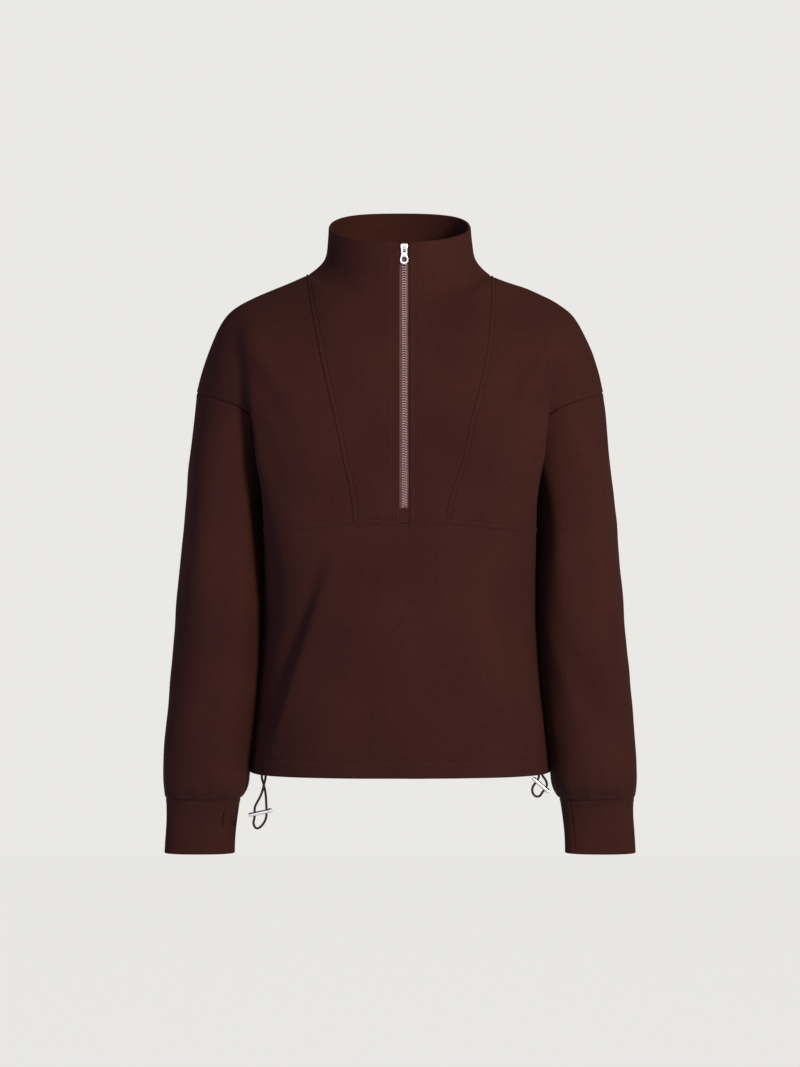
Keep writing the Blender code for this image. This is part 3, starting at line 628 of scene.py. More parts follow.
def body(
    side: int, face: Face, station: np.ndarray, across: np.ndarray, start_x: float | None = None
) -> np.ndarray:
    """Works out points of the worn body.

    Args:
        side: -1 for the wearer's right, 1 for the left.
        face: The front or the back.
        station: Place up the panel, in table rows.
        across: Place outwards, from the centre line at 0 to the side seam at 3.
        start_x: Where places across start, if not at the centre line.

    Returns:
        The points, in millimetres.
    """
    station, across = np.broadcast_arrays(np.asarray(station, float), np.asarray(across, float))
    row = np.minimum(station, SHOULDER)
    row = OVER - row if face is Face.BACK else row
    centre = spline(CENTRE_BACK if face is Face.BACK else CENTRE_FRONT, station)
    guide = spline(GUIDE_LINE, row)
    fold = spline(FOLD_LINE, row)
    edge, edge_run = edge_line(row)
    level = np.zeros_like(station)
    middle = np.stack((level, centre[..., 0], centre[..., 1]), -1)
    middle_run = np.stack((centre[..., 2], level, level), -1)
    seam = np.stack((guide[..., 0 if side < 0 else 1], guide[..., 2], guide[..., 3]), -1)
    neck = spline(NECK_SIDE, np.maximum(station - SHOULDER, 0))
    seam = np.where((station > SHOULDER)[..., None], neck[..., :3], seam)
    part = across - np.clip(np.floor(across), CENTRE, FOLD)
    start = level
    if start_x is not None:
        for _ in range(4):
            reached = bezier(middle, middle_run, centre[..., 3:6], seam, start)[..., 0]
            start = start + (start_x - reached) / (3 * centre[..., 2])
    chest_part = start + (1 - start) * part
    chest = bezier(middle, middle_run, centre[..., 3:6], seam, chest_part)
    shoulder = bezier(seam, guide[..., 4:7], -1.3 * fold[..., 3:6], fold[..., :3], part)
    flank = bezier(fold[..., :3], fold[..., 3:6], edge_run, edge, part)
    outside = np.where((across < FOLD)[..., None], shoulder, flank)
    points = np.where((across < GUIDE)[..., None], chest, outside)
    return points * (side, 1, 1)


def full_width(face: Face, station: np.ndarray, across: np.ndarray) -> np.ndarray:
    """Works out points of a panel that crosses the centre.

    Args:
        face: The front or the back.
        station: Place up the panel.
        across: Place outwards, negative on the wearer's right.

    Returns:
        The points, in millimetres.
    """
    right = body(-1, face, station, -np.minimum(across, 0))
    left = body(1, face, station, np.maximum(across, 0))
    return np.where((across < 0)[..., None], right, left)


def beside_zip(station: np.ndarray, offset: np.ndarray) -> np.ndarray:
    """Works out points of the front beside the zip's middle.

    Args:
        station: Place up the front.
        offset: Millimetres to the wearer's left of the zip's middle.

    Returns:
        The points, in millimetres.
    """
    place = ZIP_X + offset
    start = np.zeros_like(place)
    for _ in range(4):
        reached = np.abs(full_width(Face.FRONT, station, start)[..., 0])
        run = 3 * spline(CENTRE_FRONT, station)[..., 2]
        start = start + np.sign(place) * (np.abs(place) - reached) / run
    return full_width(Face.FRONT, station, start)


def oval(
    angle: np.ndarray,
    level: float,
    outer_x: float,
    inner_x: float,
    middle_y: float,
    half_depth: float,
    lean: float = 0.0,
) -> np.ndarray:
    """Works out the rounded section of a tube of cloth.

    Args:
        angle: Angle round it, from its outer side over its front.
        level: Height of the section.
        outer_x: Its furthest place from the body.
        inner_x: Its nearest place to the body.
        middle_y: Its middle, front to back.
        half_depth: Half its depth, front to back.
        lean: How much higher the outer side is.

    Returns:
        The points, in millimetres.
    """
    cosine, sine = np.cos(angle), np.sin(angle)
    power = 2 / TUBE_SQUARENESS
    reach = np.sign(cosine) * np.abs(cosine) ** power
    x = (outer_x + inner_x) / 2 + (outer_x - inner_x) / 2 * reach
    y = middle_y - half_depth * np.sign(sine) * np.abs(sine) ** power
    return np.stack((x, y, level + lean * cosine), -1)


def angle_of(around: np.ndarray) -> np.ndarray:
    """Turns a place round an armhole into an angle round the sleeve."""
    return math.pi * (SHOULDER - around) / (SHOULDER - UNDERARM)


def sleeve(side: int, along: np.ndarray, around: np.ndarray) -> np.ndarray:
    """Works out points of a sleeve.

    Args:
        side: -1 for the wearer's right, 1 for the left.
        along: Place down it, in rings from the armhole at 0.
        around: Place round it, which follows the armhole.

    Returns:
        The points, in millimetres.
    """
    along, around = np.broadcast_arrays(np.asarray(along, float), np.asarray(around, float))
    flat = around.ravel()
    armhole, _ = edge_line(UNDERARM + np.mod(flat - UNDERARM, ARMHOLE_LOOP))
    armhole[:, 0] += UNDERARM_EASE * np.clip(-1.5 * np.cos(angle_of(flat)), 0, 1)
    knots = np.array([armhole] + [oval(angle_of(flat), *ring) for ring in SLEEVE_RINGS])
    curves = spline(knots, along.ravel(), pairs=True)
    return curves.reshape(along.shape + (3,)) * (side, 1, 1)


def cuff(side: int, along: np.ndarray, around: np.ndarray) -> np.ndarray:
    """Works out points of a cuff.

    Args:
        side: -1 for the wearer's right, 1 for the left.
        along: Place down it, in rings from its seam at 0.
        around: Place round it, as on the sleeve.

    Returns:
        The points, in millimetres.
    """
    along, around = np.broadcast_arrays(np.asarray(along, float), np.asarray(around, float))
    ring = spline(CUFF_RINGS, along)
    columns = [ring[..., number] for number in range(ring.shape[-1])]
    return oval(angle_of(around), *columns) * (side, 1, 1)


def outward_of(
    surface: Surface, first: np.ndarray, second: np.ndarray, inside: np.ndarray, limit: float = math.inf
) -> np.ndarray:
    """Works out unit normals of a surface by small steps.

    Args:
        surface: The surface, of two parameters.
        first: First parameters, whose own range the steps stay in.
        second: Second parameters.
        inside: A point on the inner side of each.
        limit: How far from 0 the steps go in the second parameter.

    Returns:
        The normals, pointing away from inside.
    """
    step = 1e-4
    up, down = np.minimum(first + step, first.max()), np.maximum(first - step, first.min())
    right, left = np.minimum(second + step, limit), np.maximum(second - step, -limit)
    along = surface(up, second) - surface(down, second)
    across = surface(first, right) - surface(first, left)
    normal = np.cross(along, across)
    normal /= np.linalg.norm(normal, axis=-1, keepdims=True)
    away = (normal * (surface(first, second) - inside)).sum()
    return normal * math.copysign(1, away)


def run_of(points: np.ndarray, axis: int) -> np.ndarray:
    """Adds up the lengths between points along one axis of a grid, from 0 at its start."""
    steps = np.linalg.norm(np.diff(points, axis=axis), axis=-1)
    total = np.cumsum(steps, axis=axis)
    return np.concatenate((np.zeros_like(np.take(total, [0], axis)), total), axis)


def places_on(
    surface: Surface, lines: np.ndarray, span: tuple[float, float], near: tuple, spacing: float
) -> np.ndarray:
    """Spreads places along each line of a surface by real length.

    Args:
        surface: The surface, of a line and a place along it.
        lines: The lines.
        span: First and last place.
        near: Distances of the extra places beside the first and beside the last place.
        spacing: Distance between the other places.

    Returns:
        A row of places for each line.
    """
    samples = np.linspace(*span, 260)
    run = run_of(surface(lines[:, None], samples[None, :]), 1)
    first, last = np.array(near[0], float), np.array(near[1], float)
    free = np.median(run[:, -1]) - first[-1] - last[-1]
    count = max(2, round(free / spacing))
    shares = np.linspace(0, 1, count + 1)[1:-1]
    rows = []
    for number in range(len(lines)):
        total = run[number, -1]
        inner = first[-1] + shares * (total - first[-1] - last[-1])
        at = np.concatenate((first, inner, total - last[::-1]))
        rows.append(np.interp(at, run[number], samples))
    return np.array(rows)


def groove(distance: np.ndarray, deep: float, half_width: float) -> np.ndarray:
    """Works out the height of a soft groove at a distance from its middle."""
    return -deep * np.exp(-((distance / half_width) ** 2))


def plain_seam(distance: np.ndarray) -> np.ndarray:
    """Works out the height of cloth beside a plain seam, whose allowances lift it a little."""
    return groove(distance, *PLAIN_GROOVE) - groove(distance - PLAIN_LIFT_PLACE, *PLAIN_LIFT)


def banded_seam(distance: np.ndarray, half_width: float) -> np.ndarray:
    """Works out the height of cloth beside a seam whose allowances are stitched flat on both sides."""
    lifted = BAND_LIFT / (1 + np.exp(np.minimum((distance - half_width) / BAND_EDGE, 60)))
    return lifted + groove(distance - half_width, *BAND_GROOVE) + groove(distance, *BAND_SEAM)


def side_seam(distance: np.ndarray) -> np.ndarray:
    """Works out the height of cloth beside a side seam, which is pressed flat under the arm."""
    return groove(distance, *SIDE_GROOVE)


def stitched(distance: np.ndarray) -> np.ndarray:
    """Works out the height of cloth at a row of stitches."""
    return groove(distance, *STITCH_GROOVE)


def fold_height(points: np.ndarray, face: Face) -> np.ndarray:
    """Works out how far the body's folds and creases raise its cloth.

    Args:
        points: Points of the body.
        face: The half that they lie on.

    Returns:
        The heights, in millimetres.
    """
    height = np.zeros(points.shape[:-1])
    seen = points[..., (0, 2)]
    for on_face, from_x, from_z, to_x, to_z, half_width, raised in BODY_FOLDS:
        if on_face == face.value:
            line = np.array(((from_x, from_z), (to_x, to_z)))
            height += ridge(seen, line, half_width, raised)
    for on_face, *places, half_width, raised in CREASES:
        if on_face == face.value:
            start, bend, end = np.array(places, float).reshape(3, 2)
            part = np.linspace(0, 1, 7)[:, None]
            line = (1 - part) ** 2 * start + 2 * (1 - part) * part * bend + part**2 * end
            height += ridge(seen, line, half_width, raised)
    return height


def ridge(seen: np.ndarray, line: np.ndarray, half_width: float, raised: float) -> np.ndarray:
    """Works out the height of a fold that follows a line and fades at its ends.

    Args:
        seen: Places, in two coordinates.
        line: The fold's line, in the same two.
        half_width: Its half width.
        raised: Its greatest height, negative for a trough.

    Returns:
        The heights, in millimetres.
    """
    nearest = np.full(seen.shape[:-1], np.inf)
    share = np.zeros_like(nearest)
    count = len(line) - 1
    for number in range(count):
        step = line[number + 1] - line[number]
        offset = seen - line[number]
        part = np.clip(offset @ step / (step @ step), 0, 1)
        away = np.linalg.norm(offset - part[..., None] * step, axis=-1)
        closer = away < nearest
        nearest = np.where(closer, away, nearest)
        share = np.where(closer, (number + part) / count, share)
    taper = np.sin(math.pi * (0.08 + 0.84 * share))
    return raised * taper * np.exp(-1.5 * (nearest / half_width) ** 2)


def sleeve_fold_height(side: int, points: np.ndarray, around: np.ndarray) -> np.ndarray:
    """Works out how far a sleeve's folds raise its cloth.

    Args:
        side: The sleeve's side.
        points: Its points.
        around: Their places round it.

    Returns:
        The heights, in millimetres.
    """
    turn = np.mod(angle_of(around), 2 * math.pi) * SLEEVE_RADIUS
    height = np.zeros_like(turn)
    for on_side, from_turn, from_z, to_turn, to_z, half_width, raised in SLEEVE_FOLDS:
        if on_side == side:
            ends = np.radians((from_turn, to_turn)) * SLEEVE_RADIUS
            line = np.array(((ends[0], from_z), (ends[1], to_z)))
            height += ridge(np.stack((turn, points[..., 2]), -1), line, half_width, raised)
    return height


def unevenness(points: np.ndarray) -> np.ndarray:
    """Works out the cloth's faint unevenness at points, in millimetres."""
    height = np.zeros(points.shape[:-1])
    for cycles_x, cycles_y, cycles_z, phase, raised in WAVES:
        waves = points @ (np.array((cycles_x, cycles_y, cycles_z)) * MM)
        height += raised * np.sin(2 * math.pi * waves + phase)
    return height


def socket_of(sockets: Sequence, key: str) -> bpy.types.NodeSocket:
    """Finds a node's socket by its identifier."""
    return next(socket for socket in sockets if socket.identifier == key)


def add_node(
    tree: bpy.types.NodeTree,
    kind: str,
    values: dict | None = None,
    links: dict[str, bpy.types.NodeSocket] | None = None,
    **settings: object,
) -> bpy.types.Node:
    """Adds one node to a node tree.

    Args:
        tree: The tree.
        kind: The node's type.
        values: Input identifier to its constant value.
        links: Input identifier to the output that feeds it.
        **settings: The node's own settings.

    Returns:
        The node.
    """
    node = tree.nodes.new(kind)
    for name, value in settings.items():
        setattr(node, name, value)
    for key, value in (values or {}).items():
        socket_of(node.inputs, key).default_value = value
    for key, source in (links or {}).items():
        tree.links.new(source, socket_of(node.inputs, key))
    return node


def new_material(name: str) -> tuple[bpy.types.Material, bpy.types.NodeTree, bpy.types.Node]:
    """Makes a material with its node tree and its one shader."""
    made = bpy.data.materials.new(name)
    made.use_nodes = True
    return made, made.node_tree, made.node_tree.nodes["Principled BSDF"]


# Scale of a wave texture whose waves are one millimetre long
WAVE_SCALE = 1000 * 2 * math.pi / 20


@dataclass(frozen=True)
class BrushedKnit:
    """Cotton-rich knit with a short brushed nap: matt, with a faint wale and mottling."""

    name: str = "brushed_knit"
    shade: str = "#391d18"
    light: str = "#44251d"
    nap_size: float = 0.8
    wale: float = 1.1
    mottles: float = 260.0
    drifts: float = 11.0
    wale_height: float = 0.16
    relief: float = 0.00016

    def build(self) -> bpy.types.Material:
        """Makes the material."""
        made, tree, shader = new_material(self.name)
        place = add_node(tree, "ShaderNodeTexCoord").outputs["Object"]
        flat = add_node(tree, "ShaderNodeUVMap", uv_map="cloth").outputs["UV"]
        fibres = {"Scale": 1000 / self.nap_size, "Detail": 2.0, "Roughness": 0.6}
        nap = add_node(tree, "ShaderNodeTexNoise", fibres, {"Vector": place})
        spots = {"Scale": self.mottles, "Detail": 3.0}
        mottle = add_node(tree, "ShaderNodeTexNoise", spots, {"Vector": place})
        clouds = {"Scale": self.drifts, "Detail": 1.0}
        drift = add_node(tree, "ShaderNodeTexNoise", clouds, {"Vector": place})
        ribs = {"Scale": WAVE_SCALE / self.wale, "Distortion": 0.6, "Detail": 1.0}
        wales = add_node(tree, "ShaderNodeTexWave", ribs, {"Vector": flat}, bands_direction="X")
        both = {"Value": mottle.outputs["Fac"], "Value_001": drift.outputs["Fac"]}
        patches = add_node(tree, "ShaderNodeMath", links=both, operation="ADD").outputs["Value"]
        reach = {"From Min": 0.6, "From Max": 1.4}
        share = add_node(tree, "ShaderNodeMapRange", reach, {"Value": patches}).outputs["Result"]
        shades = {"A_Color": linear(self.shade), "B_Color": linear(self.light)}
        colour = add_node(tree, "ShaderNodeMix", shades, {"Factor_Float": share}, data_type="RGBA")
        tree.links.new(socket_of(colour.outputs, "Result_Color"), shader.inputs["Base Color"])
        both = {"Value": wales.outputs["Fac"], "Value_002": nap.outputs["Fac"]}
        weight = {"Value_001": self.wale_height}
        height = add_node(tree, "ShaderNodeMath", weight, both, operation="MULTIPLY_ADD")
        depth = {"Strength": 0.5, "Distance": self.relief}
        bump = add_node(tree, "ShaderNodeBump", depth, {"Height": height.outputs["Value"]})
        tree.links.new(bump.outputs["Normal"], shader.inputs["Normal"])
        shader.inputs["Roughness"].default_value = 0.94
        shader.inputs["Specular IOR Level"].default_value = 0.1
        shader.inputs["Sheen Weight"].default_value = 0.05
        shader.inputs["Sheen Roughness"].default_value = 0.5
        shader.inputs["Sheen Tint"].default_value = linear("#a8786a")
        return made


@dataclass(frozen=True)
class Woven:
    """Woven or braided yarn, such as the zip's tape or the cords."""

    name: str
    colour: str
    rib: float
    strength: float = 0.6
    roughness: float = 0.85
    relief: float = 0.0003

    def build(self) -> bpy.types.Material:
        """Makes the material."""
        made, tree, shader = new_material(self.name)
        flat = add_node(tree, "ShaderNodeUVMap", uv_map="cloth").outputs["UV"]
        rib = {"Scale": WAVE_SCALE / self.rib, "Distortion": 0.3}
        waves = [
            add_node(tree, "ShaderNodeTexWave", rib, {"Vector": flat}, bands_direction=direction)
            for direction in ("X", "Y")
        ]
        both = {"Value": waves[0].outputs["Fac"], "Value_001": waves[1].outputs["Fac"]}
        weave = add_node(tree, "ShaderNodeMath", links=both, operation="MULTIPLY")
        depth = {"Strength": self.strength, "Distance": self.relief}
        bump = add_node(tree, "ShaderNodeBump", depth, {"Height": weave.outputs["Value"]})
        tree.links.new(bump.outputs["Normal"], shader.inputs["Normal"])
        shader.inputs["Base Color"].default_value = linear(self.colour)
        shader.inputs["Roughness"].default_value = self.roughness
        return made


@dataclass(frozen=True)
class Smooth:
    """A plain surface, such as thread, moulded zip teeth or plated metal."""

    name: str
    colour: str
    roughness: float
    metallic: float = 0.0

    def build(self) -> bpy.types.Material:
        """Makes the material."""
        made, _, shader = new_material(self.name)
        shader.inputs["Base Color"].default_value = linear(self.colour)
        shader.inputs["Roughness"].default_value = self.roughness
        shader.inputs["Metallic"].default_value = self.metallic
        return made


@dataclass(frozen=True)
class LitPaper:
    """Pale seamless paper that is lit evenly by itself, so that it stays one tone behind the cloth."""

    name: str = "pale_paper"
    colour: str = PAPER
    glow: float = 0.97
    reflected: float = 0.05

    def build(self) -> bpy.types.Material:
        """Makes the material."""
        made, _, shader = new_material(self.name)
        red, green, blue, _ = linear(self.colour)
        share = self.reflected
        shader.inputs["Base Color"].default_value = (red * share, green * share, blue * share, 1)
        shader.inputs["Roughness"].default_value = 0.95
        shader.inputs["Specular IOR Level"].default_value = 0.0
        shader.inputs["Emission Color"].default_value = linear(self.colour)
        shader.inputs["Emission Strength"].default_value = self.glow
        return made


@dataclass(frozen=True)
class Finishes:
    """Every material of the sweatshirt and its stage."""

    knit: bpy.types.Material
    thread: bpy.types.Material
    tape: bpy.types.Material
    cord: bpy.types.Material
    teeth: bpy.types.Material
    metal: bpy.types.Material
    paper: bpy.types.Material

    @classmethod
    def made(cls) -> "Finishes":
        """Makes them all."""
        return cls(
            # Brushed cotton-rich sweatshirt knit: deep matt brown, faintly mottled
            knit=BrushedKnit().build(),
            # Spun polyester sewing thread: a dull line, a shade lighter than the cloth
            thread=Smooth("sewing_thread", "#452720", 0.75).build(),
            # Woven polyester zip tape: matt, dusty pink-brown with a fine rib
            tape=Woven("woven_tape", "#6f4f4b", 0.7).build(),
            # Braided polyester cord: almost black brown, with the braid's small bumps
            cord=Woven("braided_cord", "#2a1418", 1.1, 0.9).build(),
            # Moulded acetal zip teeth: pale, with a small soft shine
            teeth=Smooth("zip_teeth", "#bba19c", 0.36).build(),
            # Bright nickel plating on cast zinc: mirror-like, a little blurred
            metal=Smooth("bright_nickel", "#dcd9e0", 0.24, 1.0).build(),
            # Matt seamless paper: one pale tone all over
            paper=LitPaper().build(),
        )


def link_mesh(name: str, mesh: bpy.types.Mesh, finish: bpy.types.Material) -> bpy.types.Object:
    """Puts a mesh in the scene, smooth, with one material."""
    if finish.name not in mesh.materials:
        mesh.materials.append(finish)
    mesh.shade_smooth()
    made = bpy.data.objects.new(name, mesh)
    bpy.context.scene.collection.objects.link(made)
    return made


def stand_for(made: bpy.types.Object, node: str, part_body: str = "garment") -> None:
    """Has a piece ride a body and take the place of a CAD node."""
    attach(made, part_body)
    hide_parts(node)


def shell(
    name: str,
    outer: np.ndarray,
    inner: np.ndarray,
    finish: bpy.types.Material,
    closed: bool = False,
    rounded: tuple[bool, bool] = (False, False),
    gone: tuple[slice, int] | None = None,
) -> bpy.types.Object:
    """Makes a thin shell of cloth between two grids of points.

    Args:
        name: The object's name.
        outer: The outer face's points, in millimetres.
        inner: The inner face's points.
        finish: Its material.
        closed: Whether the last column lies on the first.
        rounded: Whether the first and the last row's rims are turned edges.
        gone: Rows of cells and the column of an opening.

    Returns:
        The object.
    """
    rows, columns = outer.shape[:2]

    def turned_edge(edge: int, inside: int) -> np.ndarray:
        """Rounds a rim, from the outer face to the inner one."""
        middle, half = (outer[edge] + inner[edge]) / 2, (outer[edge] - inner[edge]) / 2
        away = outer[edge] - outer[inside]
        away /= np.linalg.norm(away, axis=-1, keepdims=True)
        radius = np.linalg.norm(half, axis=-1, keepdims=True)
        angles = np.linspace(0, math.pi, EDGE_STEPS + 2)[1:-1, None, None]
        return middle + half * np.cos(angles) + EDGE_ROUND * away * radius * np.sin(angles)

    top = turned_edge(-1, -2) if rounded[1] else outer[:0]
    bottom = turned_edge(0, 1)[::-1] if rounded[0] else outer[:0]
    ring = np.concatenate((outer, top, inner[::-1], bottom))
    count = len(ring)
    upward = np.concatenate((run_of(ring, 0)[:, columns // 2], [0]))
    upward[-1] = upward[-2] + CLOTH
    sideways = run_of(ring, 1)
    low, beside = np.meshgrid(np.arange(count), np.arange(columns - 1), indexing="ij")
    low, beside = low.ravel(), beside.ravel()
    keep = np.ones(len(low), bool)
    inner_start = rows + len(top)
    if gone:
        cells, column = gone
        out = (low >= cells.start) & (low < cells.stop)
        mirrored = inner_start + rows - 2 - low
        out |= (mirrored >= cells.start) & (mirrored < cells.stop) & (low >= inner_start)
        keep = ~(out & (beside == column))
    low, beside = low[keep], beside[keep]
    high = (low + 1) % count
    cell = ((low, beside), (low, beside + 1), (high, beside + 1), (high, beside))
    faces = np.stack([at * columns + place for at, place in cell], 1)
    flat_x = np.stack([sideways[at, place] for at, place in cell], 1)
    flat_y = np.stack((upward[low], upward[low], upward[low + 1], upward[low + 1]), 1)
    caps = []

    def inner_row(row: int) -> int:
        """Finds the inner face's row behind one of the outer face's."""
        return inner_start + rows - 1 - row

    def cap(row: int, column: int, turn: bool) -> None:
        """Closes the wall between the faces along one cell of a column."""
        corners = [row, row + 1, inner_row(row + 1), inner_row(row)]
        corners = [corner * columns + column for corner in corners]
        caps.append(corners[::-1] if turn else corners)

    if not closed:
        for row in range(rows - 1):
            cap(row, 0, False)
            cap(row, columns - 1, True)
        for first, extra in ((rows - 1, len(top)), (count - len(bottom) - 1, len(bottom))):
            if extra:
                fan = [place % count for place in range(first, first + extra + 2)]
                caps.append([place * columns for place in fan])
                caps.append([place * columns + columns - 1 for place in reversed(fan)])
    if gone:
        cells, column = gone
        for row in range(cells.start, cells.stop):
            cap(row, column, True)
            cap(row, column + 1, False)
        for row, turn in ((cells.start, True), (cells.stop, False)):
            outside, behind = row * columns + column, inner_row(row) * columns + column
            corners = [outside, outside + 1, behind + 1, behind]
            caps.append(corners if turn else corners[::-1])
    mesh = bpy.data.meshes.new(name)
    mesh.from_pydata((ring.reshape(-1, 3) * MM).tolist(), [], faces.tolist() + caps)
    layer = mesh.uv_layers.new(name="cloth")
    flat = np.zeros((len(mesh.loops), 2))
    flat[: faces.size, 0] = flat_x.ravel() * MM
    flat[: faces.size, 1] = flat_y.ravel() * MM
    layer.data.foreach_set("uv", flat.ravel())
    work = bmesh.new()
    work.from_mesh(mesh)
    if closed:
        bmesh.ops.remove_doubles(work, verts=work.verts, dist=1e-7)
    bmesh.ops.recalc_face_normals(work, faces=work.faces)
    work.to_mesh(mesh)
    work.free()
    mesh.validate()
    made = link_mesh(name, mesh, finish)
    mesh.set_sharp_from_angle(angle=CLOTH_EDGE)
    return made


@dataclass
class Seamline:
    """A line of points on the cloth, with the way out of it at each."""

    points: np.ndarray
    outward: np.ndarray


@dataclass
class Repeats:
    """A Geometry Nodes group that sets copies of one object along lines."""

    tree: bpy.types.NodeTree = field(init=False)
    inputs: dict[str, str] = field(init=False)

    def __post_init__(self) -> None:
        """Makes the group."""
        tree = bpy.data.node_groups.new("repeat_along", "GeometryNodeTree")
        kinds = {"Line": "Geometry", "Repeated": "Object", "Pitch": "Float", "Finish": "Material"}
        kinds |= {"Unevenness": "Float", "Seed": "Int"}
        self.inputs = {
            name: tree.interface.new_socket(
                name, in_out="INPUT", socket_type=f"NodeSocket{kind}"
            ).identifier
            for name, kind in kinds.items()
        }
        tree.interface.new_socket("Result", in_out="OUTPUT", socket_type="NodeSocketGeometry")
        given = add_node(tree, "NodeGroupInput").outputs
        curve = add_node(tree, "GeometryNodeMeshToCurve", links={"Mesh": given["Line"]})
        run = {"Curve": curve.outputs["Curve"], "Length": given["Pitch"]}
        spaced = add_node(tree, "GeometryNodeResampleCurve", links=run, mode="LENGTH")
        stored = {"Name": "outward"}
        away = add_node(tree, "GeometryNodeInputNamedAttribute", stored, data_type="FLOAT_VECTOR")
        up = {"Vector": away.outputs["Attribute"]}
        outward = add_node(tree, "FunctionNodeAlignRotationToVector", links=up, axis="Z")
        along = add_node(tree, "GeometryNodeInputTangent").outputs["Tangent"]
        ways = {"Rotation": outward.outputs["Rotation"], "Vector": along}
        turned = add_node(tree, "FunctionNodeAlignRotationToVector", links=ways, axis="Y", pivot_axis="Z")
        one, change = {"Value": 1.0}, {"Value_001": given["Unevenness"]}
        least = add_node(tree, "ShaderNodeMath", one, change, operation="SUBTRACT").outputs["Value"]
        most = add_node(tree, "ShaderNodeMath", one, change, operation="ADD").outputs["Value"]
        ends = {"Min_001": least, "Max_001": most, "Seed": given["Seed"]}
        size = add_node(tree, "FunctionNodeRandomValue", links=ends, data_type="FLOAT")
        item = add_node(tree, "GeometryNodeObjectInfo", links={"Object": given["Repeated"]})
        placed = {
            "Points": spaced.outputs["Curve"],
            "Instance": item.outputs["Geometry"],
            "Rotation": turned.outputs["Rotation"],
            "Scale": socket_of(size.outputs, "Value_001"),
        }
        copies = add_node(tree, "GeometryNodeInstanceOnPoints", links=placed).outputs["Instances"]
        real = add_node(tree, "GeometryNodeRealizeInstances", links={"Geometry": copies})
        dressed = {"Geometry": real.outputs["Geometry"], "Material": given["Finish"]}
        done = add_node(tree, "GeometryNodeSetMaterial", links=dressed)
        add_node(tree, "NodeGroupOutput", links={"Socket_6": done.outputs["Geometry"]})
        self.tree = tree

    def along(
        self,
        name: str,
        lines: Sequence[Seamline],
        item: bpy.types.Object,
        pitch: float,
        finish: bpy.types.Material,
        unevenness: float = 0.0,
    ) -> bpy.types.Object:
        """Sets copies of an object along lines, as one plain mesh.

        Args:
            name: The result's name.
            lines: The lines.
            item: What is repeated, with its length along Y and its outer side at +Z.
            pitch: Distance between copies, in millimetres.
            finish: Its material.
            unevenness: How much the copies' sizes vary, as a share.

        Returns:
            The object.
        """
        points = np.concatenate([line.points for line in lines]) * MM
        outward = np.concatenate([line.outward for line in lines])
        edges = []
        start = 0
        for line in lines:
            edges += [(place, place + 1) for place in range(start, start + len(line.points) - 1)]
            start += len(line.points)
        mesh = bpy.data.meshes.new(f"{name}_lines")
        mesh.from_pydata(points.tolist(), edges, [])
        layer = mesh.attributes.new("outward", "FLOAT_VECTOR", "POINT")
        layer.data.foreach_set("vector", outward.ravel())
        guide = bpy.data.objects.new(f"{name}_lines", mesh)
        bpy.context.scene.collection.objects.link(guide)
        repeat = guide.modifiers.new("repeat_along", "NODES")
        repeat.node_group = self.tree
        values = {"Repeated": item, "Pitch": pitch * MM, "Finish": finish}
        values |= {"Unevenness": unevenness, "Seed": 7}
        for key, value in values.items():
            repeat[self.inputs[key]] = value
        bpy.context.view_layer.update()
        evaluated = guide.evaluated_get(bpy.context.evaluated_depsgraph_get())
        plain = bpy.data.meshes.new_from_object(evaluated)
        plain.name = name
        bpy.data.objects.remove(guide)
        return link_mesh(name, plain, finish)


def stitch_item(finish: bpy.types.Material) -> bpy.types.Object:
    """Makes one stitch: a short arched thread whose ends dip into the cloth."""
    rings, sides = 7, 6
    places = np.linspace(-1, 1, rings)
    turns = np.linspace(0, 2 * math.pi, sides, endpoint=False)
    thick = THREAD / 2 * (1 - STITCH_TAPER * np.abs(places) ** 3)
    across = thick[:, None] * np.cos(turns)
    above = thick[:, None] * np.sin(turns) + (STITCH_ARCH * (1 - places**2) - STITCH_SUNK)[:, None]
    along = np.broadcast_to((places * STITCH / 2)[:, None], across.shape)
    return tube_mesh("stitch_pattern", np.stack((across, along, above), -1), finish)


def tube_mesh(name: str, rings: np.ndarray, finish: bpy.types.Material) -> bpy.types.Object:
    """Makes a closed tube from rings of points.

    Args:
        name: The object's name.
        rings: Points in millimetres, one row for each ring.
        finish: Its material.

    Returns:
        The object.
    """
    count, sides = rings.shape[:2]
    faces = []
    for ring in range(count - 1):
        for place in range(sides):
            beside = (place + 1) % sides
            low, high = ring * sides, (ring + 1) * sides
            faces.append((low + place, low + beside, high + beside, high + place))
    faces.append(tuple(range(sides - 1, -1, -1)))
    faces.append(tuple(range((count - 1) * sides, count * sides)))
    mesh = bpy.data.meshes.new(name)
    mesh.from_pydata((rings.reshape(-1, 3) * MM).tolist(), [], faces)
    upward = run_of(rings, 0)[:, 0] * MM
    sideways = np.append(run_of(rings, 1)[0], run_of(rings, 1)[0, -1] * sides / (sides - 1)) * MM
    flat = np.zeros((len(mesh.loops), 2))
    for number in range((count - 1) * sides):
        ring, place = divmod(number, sides)
        corners = ((place, ring), (place + 1, ring), (place + 1, ring + 1), (place, ring + 1))
        flat[4 * number : 4 * number + 4] = [(sideways[u], upward[v]) for u, v in corners]
    mesh.uv_layers.new(name="cloth").data.foreach_set("uv", flat.ravel())
    work = bmesh.new()
    work.from_mesh(mesh)
    bmesh.ops.recalc_face_normals(work, faces=work.faces)
    work.to_mesh(mesh)
    work.free()
    made = link_mesh(name, mesh, finish)
    mesh.set_sharp_from_angle(angle=TUBE_EDGE)
    return made


@dataclass
class Workroom:
    """What every piece is made with: the finishes, and the stitch with its repeats."""

    finishes: Finishes
    repeats: Repeats
    stitch: bpy.types.Object


